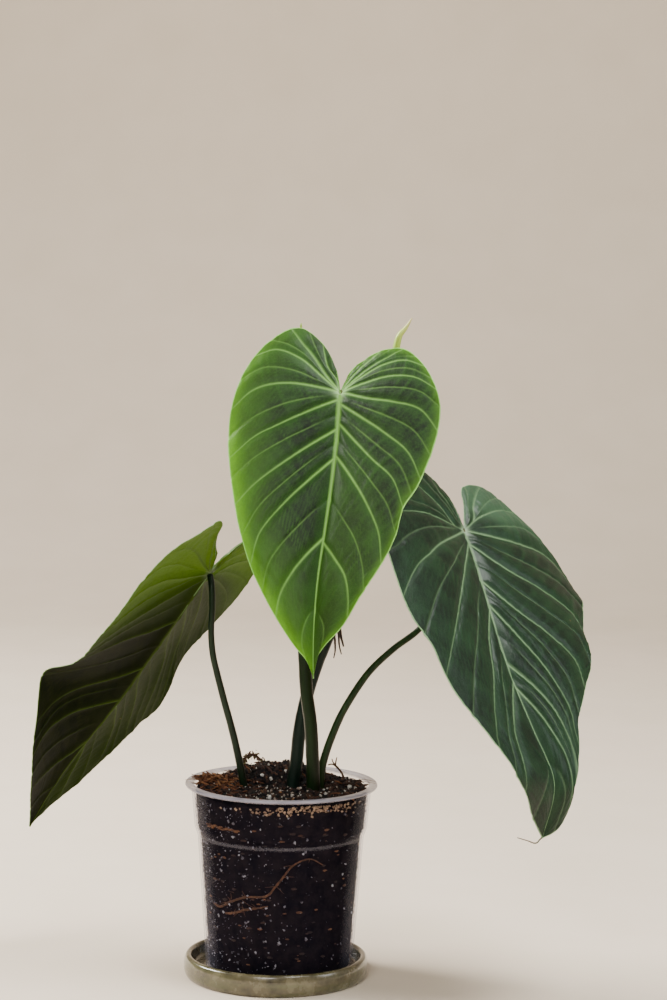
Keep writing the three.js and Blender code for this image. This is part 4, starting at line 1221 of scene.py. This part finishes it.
def wall_specks():
    """Perlite and mineral specks against the clear wall, dense on the left and sparse on the right."""
    pale, brown = Shape(), Shape()
    made = 0
    while made < WALL_SPECKS:
        degrees = rng.uniform(-360, 0)
        height = rng.uniform(10, 124)
        thick = 0.16 + 0.84 * step(-70, -115, degrees) if degrees > -210 else 0.6
        if rng.uniform() > thick * (0.55 + 0.45 * noise.noise(Vector((degrees / 14, height / 9, 3.0)))):
            continue
        made += 1
        size = 0.18 + 0.9 * rng.uniform() ** 3.5
        flat = (0.3, size, size * rng.uniform(0.25, 0.9))
        wall_grain(pale, degrees, height, 0.5, flat, 1.1, roll=math.pi, tint=rng.uniform(0.36, 1))
    for _ in range(BAND_GRAINS):
        degrees = rng.normal(BAND_MIDDLE, 20)
        height = 127.3 - 0.05 * abs(degrees - BAND_MIDDLE) - abs(rng.normal(0, 2.4))
        size = rng.uniform(0.25, 1.0)
        if noise.noise(Vector((degrees / 4, height / 1.6, 9.0))) < -0.12:
            continue
        flat = (0.5, size, 0.7 * size)
        wall_grain(pale, degrees, height, 0.6, flat, 0.9, roll=1.5, tint=rng.uniform(0.0, 0.3))
    for _ in range(WALL_BITS):
        degrees, height = rng.uniform(-360, 0), rng.uniform(10, 122)
        long = rng.uniform(0.6, 2.2)
        wall_grain(brown, degrees, height, 0.5, (0.3, long, 0.4 * long), 0.5)
    for k in range(STREAK_GRAINS):
        degrees = STREAK_START + STREAK_STEP * k
        height = STREAK_HEIGHT + rng.uniform(-1.3, 1.3)
        wall_grain(brown, degrees, height, 0.4, (0.35, 1.9, 0.5), 0.5, tint=rng.uniform(0.7, 1))
    paint = tinted("wall_specks", (0.0, (0.62, 0.44, 0.28)), (0.28, (0.26, 0.16, 0.10)),
                   (0.36, (0.05, 0.045, 0.055)), (0.7, (0.17, 0.16, 0.19)), (1.0, (0.46, 0.46, 0.50)))
    place(pale.make("wall_specks", paint), "perlite")
    paint = tinted("wall_bits", (0.0, (0.016, 0.008, 0.008)), (0.6, (0.040, 0.018, 0.013)),
                   (1.0, (0.20, 0.085, 0.032)))
    place(brown.make("wall_bits", paint), "bark")


# Degrees round the pot and height
WALL_ROOT_LONG = [
    (-149, 55), (-141, 54), (-129, 59), (-115, 64), (-99, 66), (-92, 73), (-87, 79), (-80, 87), (-68, 91),
    (-57, 86),
]
WALL_ROOT_SHORT = [(-134, 50.5), (-126, 52), (-117, 55), (-107, 57), (-98, 59)]


def wall_roots():
    p = Paint("wall_root")
    streak = p.noise(2.5, 4, 0.65)
    colour = p.ramp(streak, (0.3, (0.022, 0.010, 0.006)), (0.5, (0.075, 0.030, 0.013)),
                    (0.8, (0.22, 0.10, 0.045)))
    skin = p.done(p.surface(colour, 0.8, p.bump(streak, 0.4, 0.8)))
    for name, line, seed in (("long", WALL_ROOT_LONG, 21), ("short", WALL_ROOT_SHORT, 22)):
        path = [on_wall(degrees, height, 0.8) for degrees, height in line]
        root = tube(Shape(), route(path, 0.6), [0.75, 0.8, 0.7, 0.75, 0.55, 0.35], 12, rough=0.3,
                    grain=1.6, seed=seed)
        for _ in range(ROOT_HAIRS):
            spot = path[rng.integers(1, len(path) - 1)]
            turn, rise = rng.normal(0, 0.12), rng.normal(0, 3)
            angle = math.atan2(spot[1], spot[0]) + turn
            end = on_wall(math.degrees(angle), spot[2] + rise, 0.6)
            middle = (spot + end) / 2 + rng.normal(0, 0.3, 3)
            tube(root, route([spot, middle, end], 0.8), [0.22, 0.1], 6)
        place(root.make(f"wall_root_{name}", skin), "pale_root", f"wall_root_{name}")


FORKED_TWIG = {
    "stem": ([[43.5, 30, 122], [41.9, 30, 130.6], [39.4, 30, 135], [36, 30, 138.7]], [1, 0.85, 0.75, 0.8]),
    "left": ([[36.5, 30, 138.2], [34.7, 30.2, 140.5], [33.8, 30.4, 142.9]], [0.6, 0.35]),
    "right": ([[36.2, 30, 138.5], [36.6, 29.8, 141.3], [37.3, 29.6, 144.2]], [0.6, 0.35]),
    "stub": ([[36.5, 30, 138.4], [33.7, 30, 139.2], [31.2, 30.3, 138.6]], [0.6, 0.45]),
}
MOSSY_TWIG = [
    [-31, 36, 124], [-28.6, 38, 131], [-26.8, 40, 138.2], [-25, 41, 141.6], [-20.5, 42, 142.6],
    [-13.7, 43, 138],
]


def twigs():
    twig = tinted("twig", (0.0, (0.06, 0.022, 0.010)), (1.0, (0.20, 0.085, 0.035)), depth=0.4)
    shape = Shape()
    for k, (path, radii) in enumerate(FORKED_TWIG.values()):
        tube(shape, route(path, 0.5), radii, 14, rough=0.2, grain=1.4, seed=30 + k, tint=0.3 + 0.15 * k)
    place(shape.make("forked_twig", twig), "twig", "forked_twig")
    shape = Shape()
    line = route(MOSSY_TWIG, 0.6)
    tube(shape, line, [1.3, 1.2, 1.0, 0.7], 14, rough=0.3, grain=1.4, seed=40, tint=0.12)
    for _ in range(MOSS_SCALES):
        spot = line[rng.integers(6, len(line))]
        away = rng.normal(0, 1.15, 3)
        size = rng.uniform(0.35, 0.95)
        grain(shape, spot + away, size * np.array([1.5, 0.6, 0.4]), 0.5)
    moss = tinted("moss", (0.0, (0.045, 0.016, 0.008)), (0.45, (0.11, 0.04, 0.014)),
                  (0.75, (0.10, 0.085, 0.022)), (1.0, (0.20, 0.19, 0.06)), depth=0.4)
    place(shape.make("mossy_twig", moss), "moss", "mossy_twig")


def main():
    camera()
    stage()
    light()
    leaves()
    stalks()
    growth()
    roots()
    pot()
    saucer()
    soil()
    for loose in (crumbs, coir, fibres, perlite, bark, wall_specks, wall_roots, twigs):
        loose()


main()
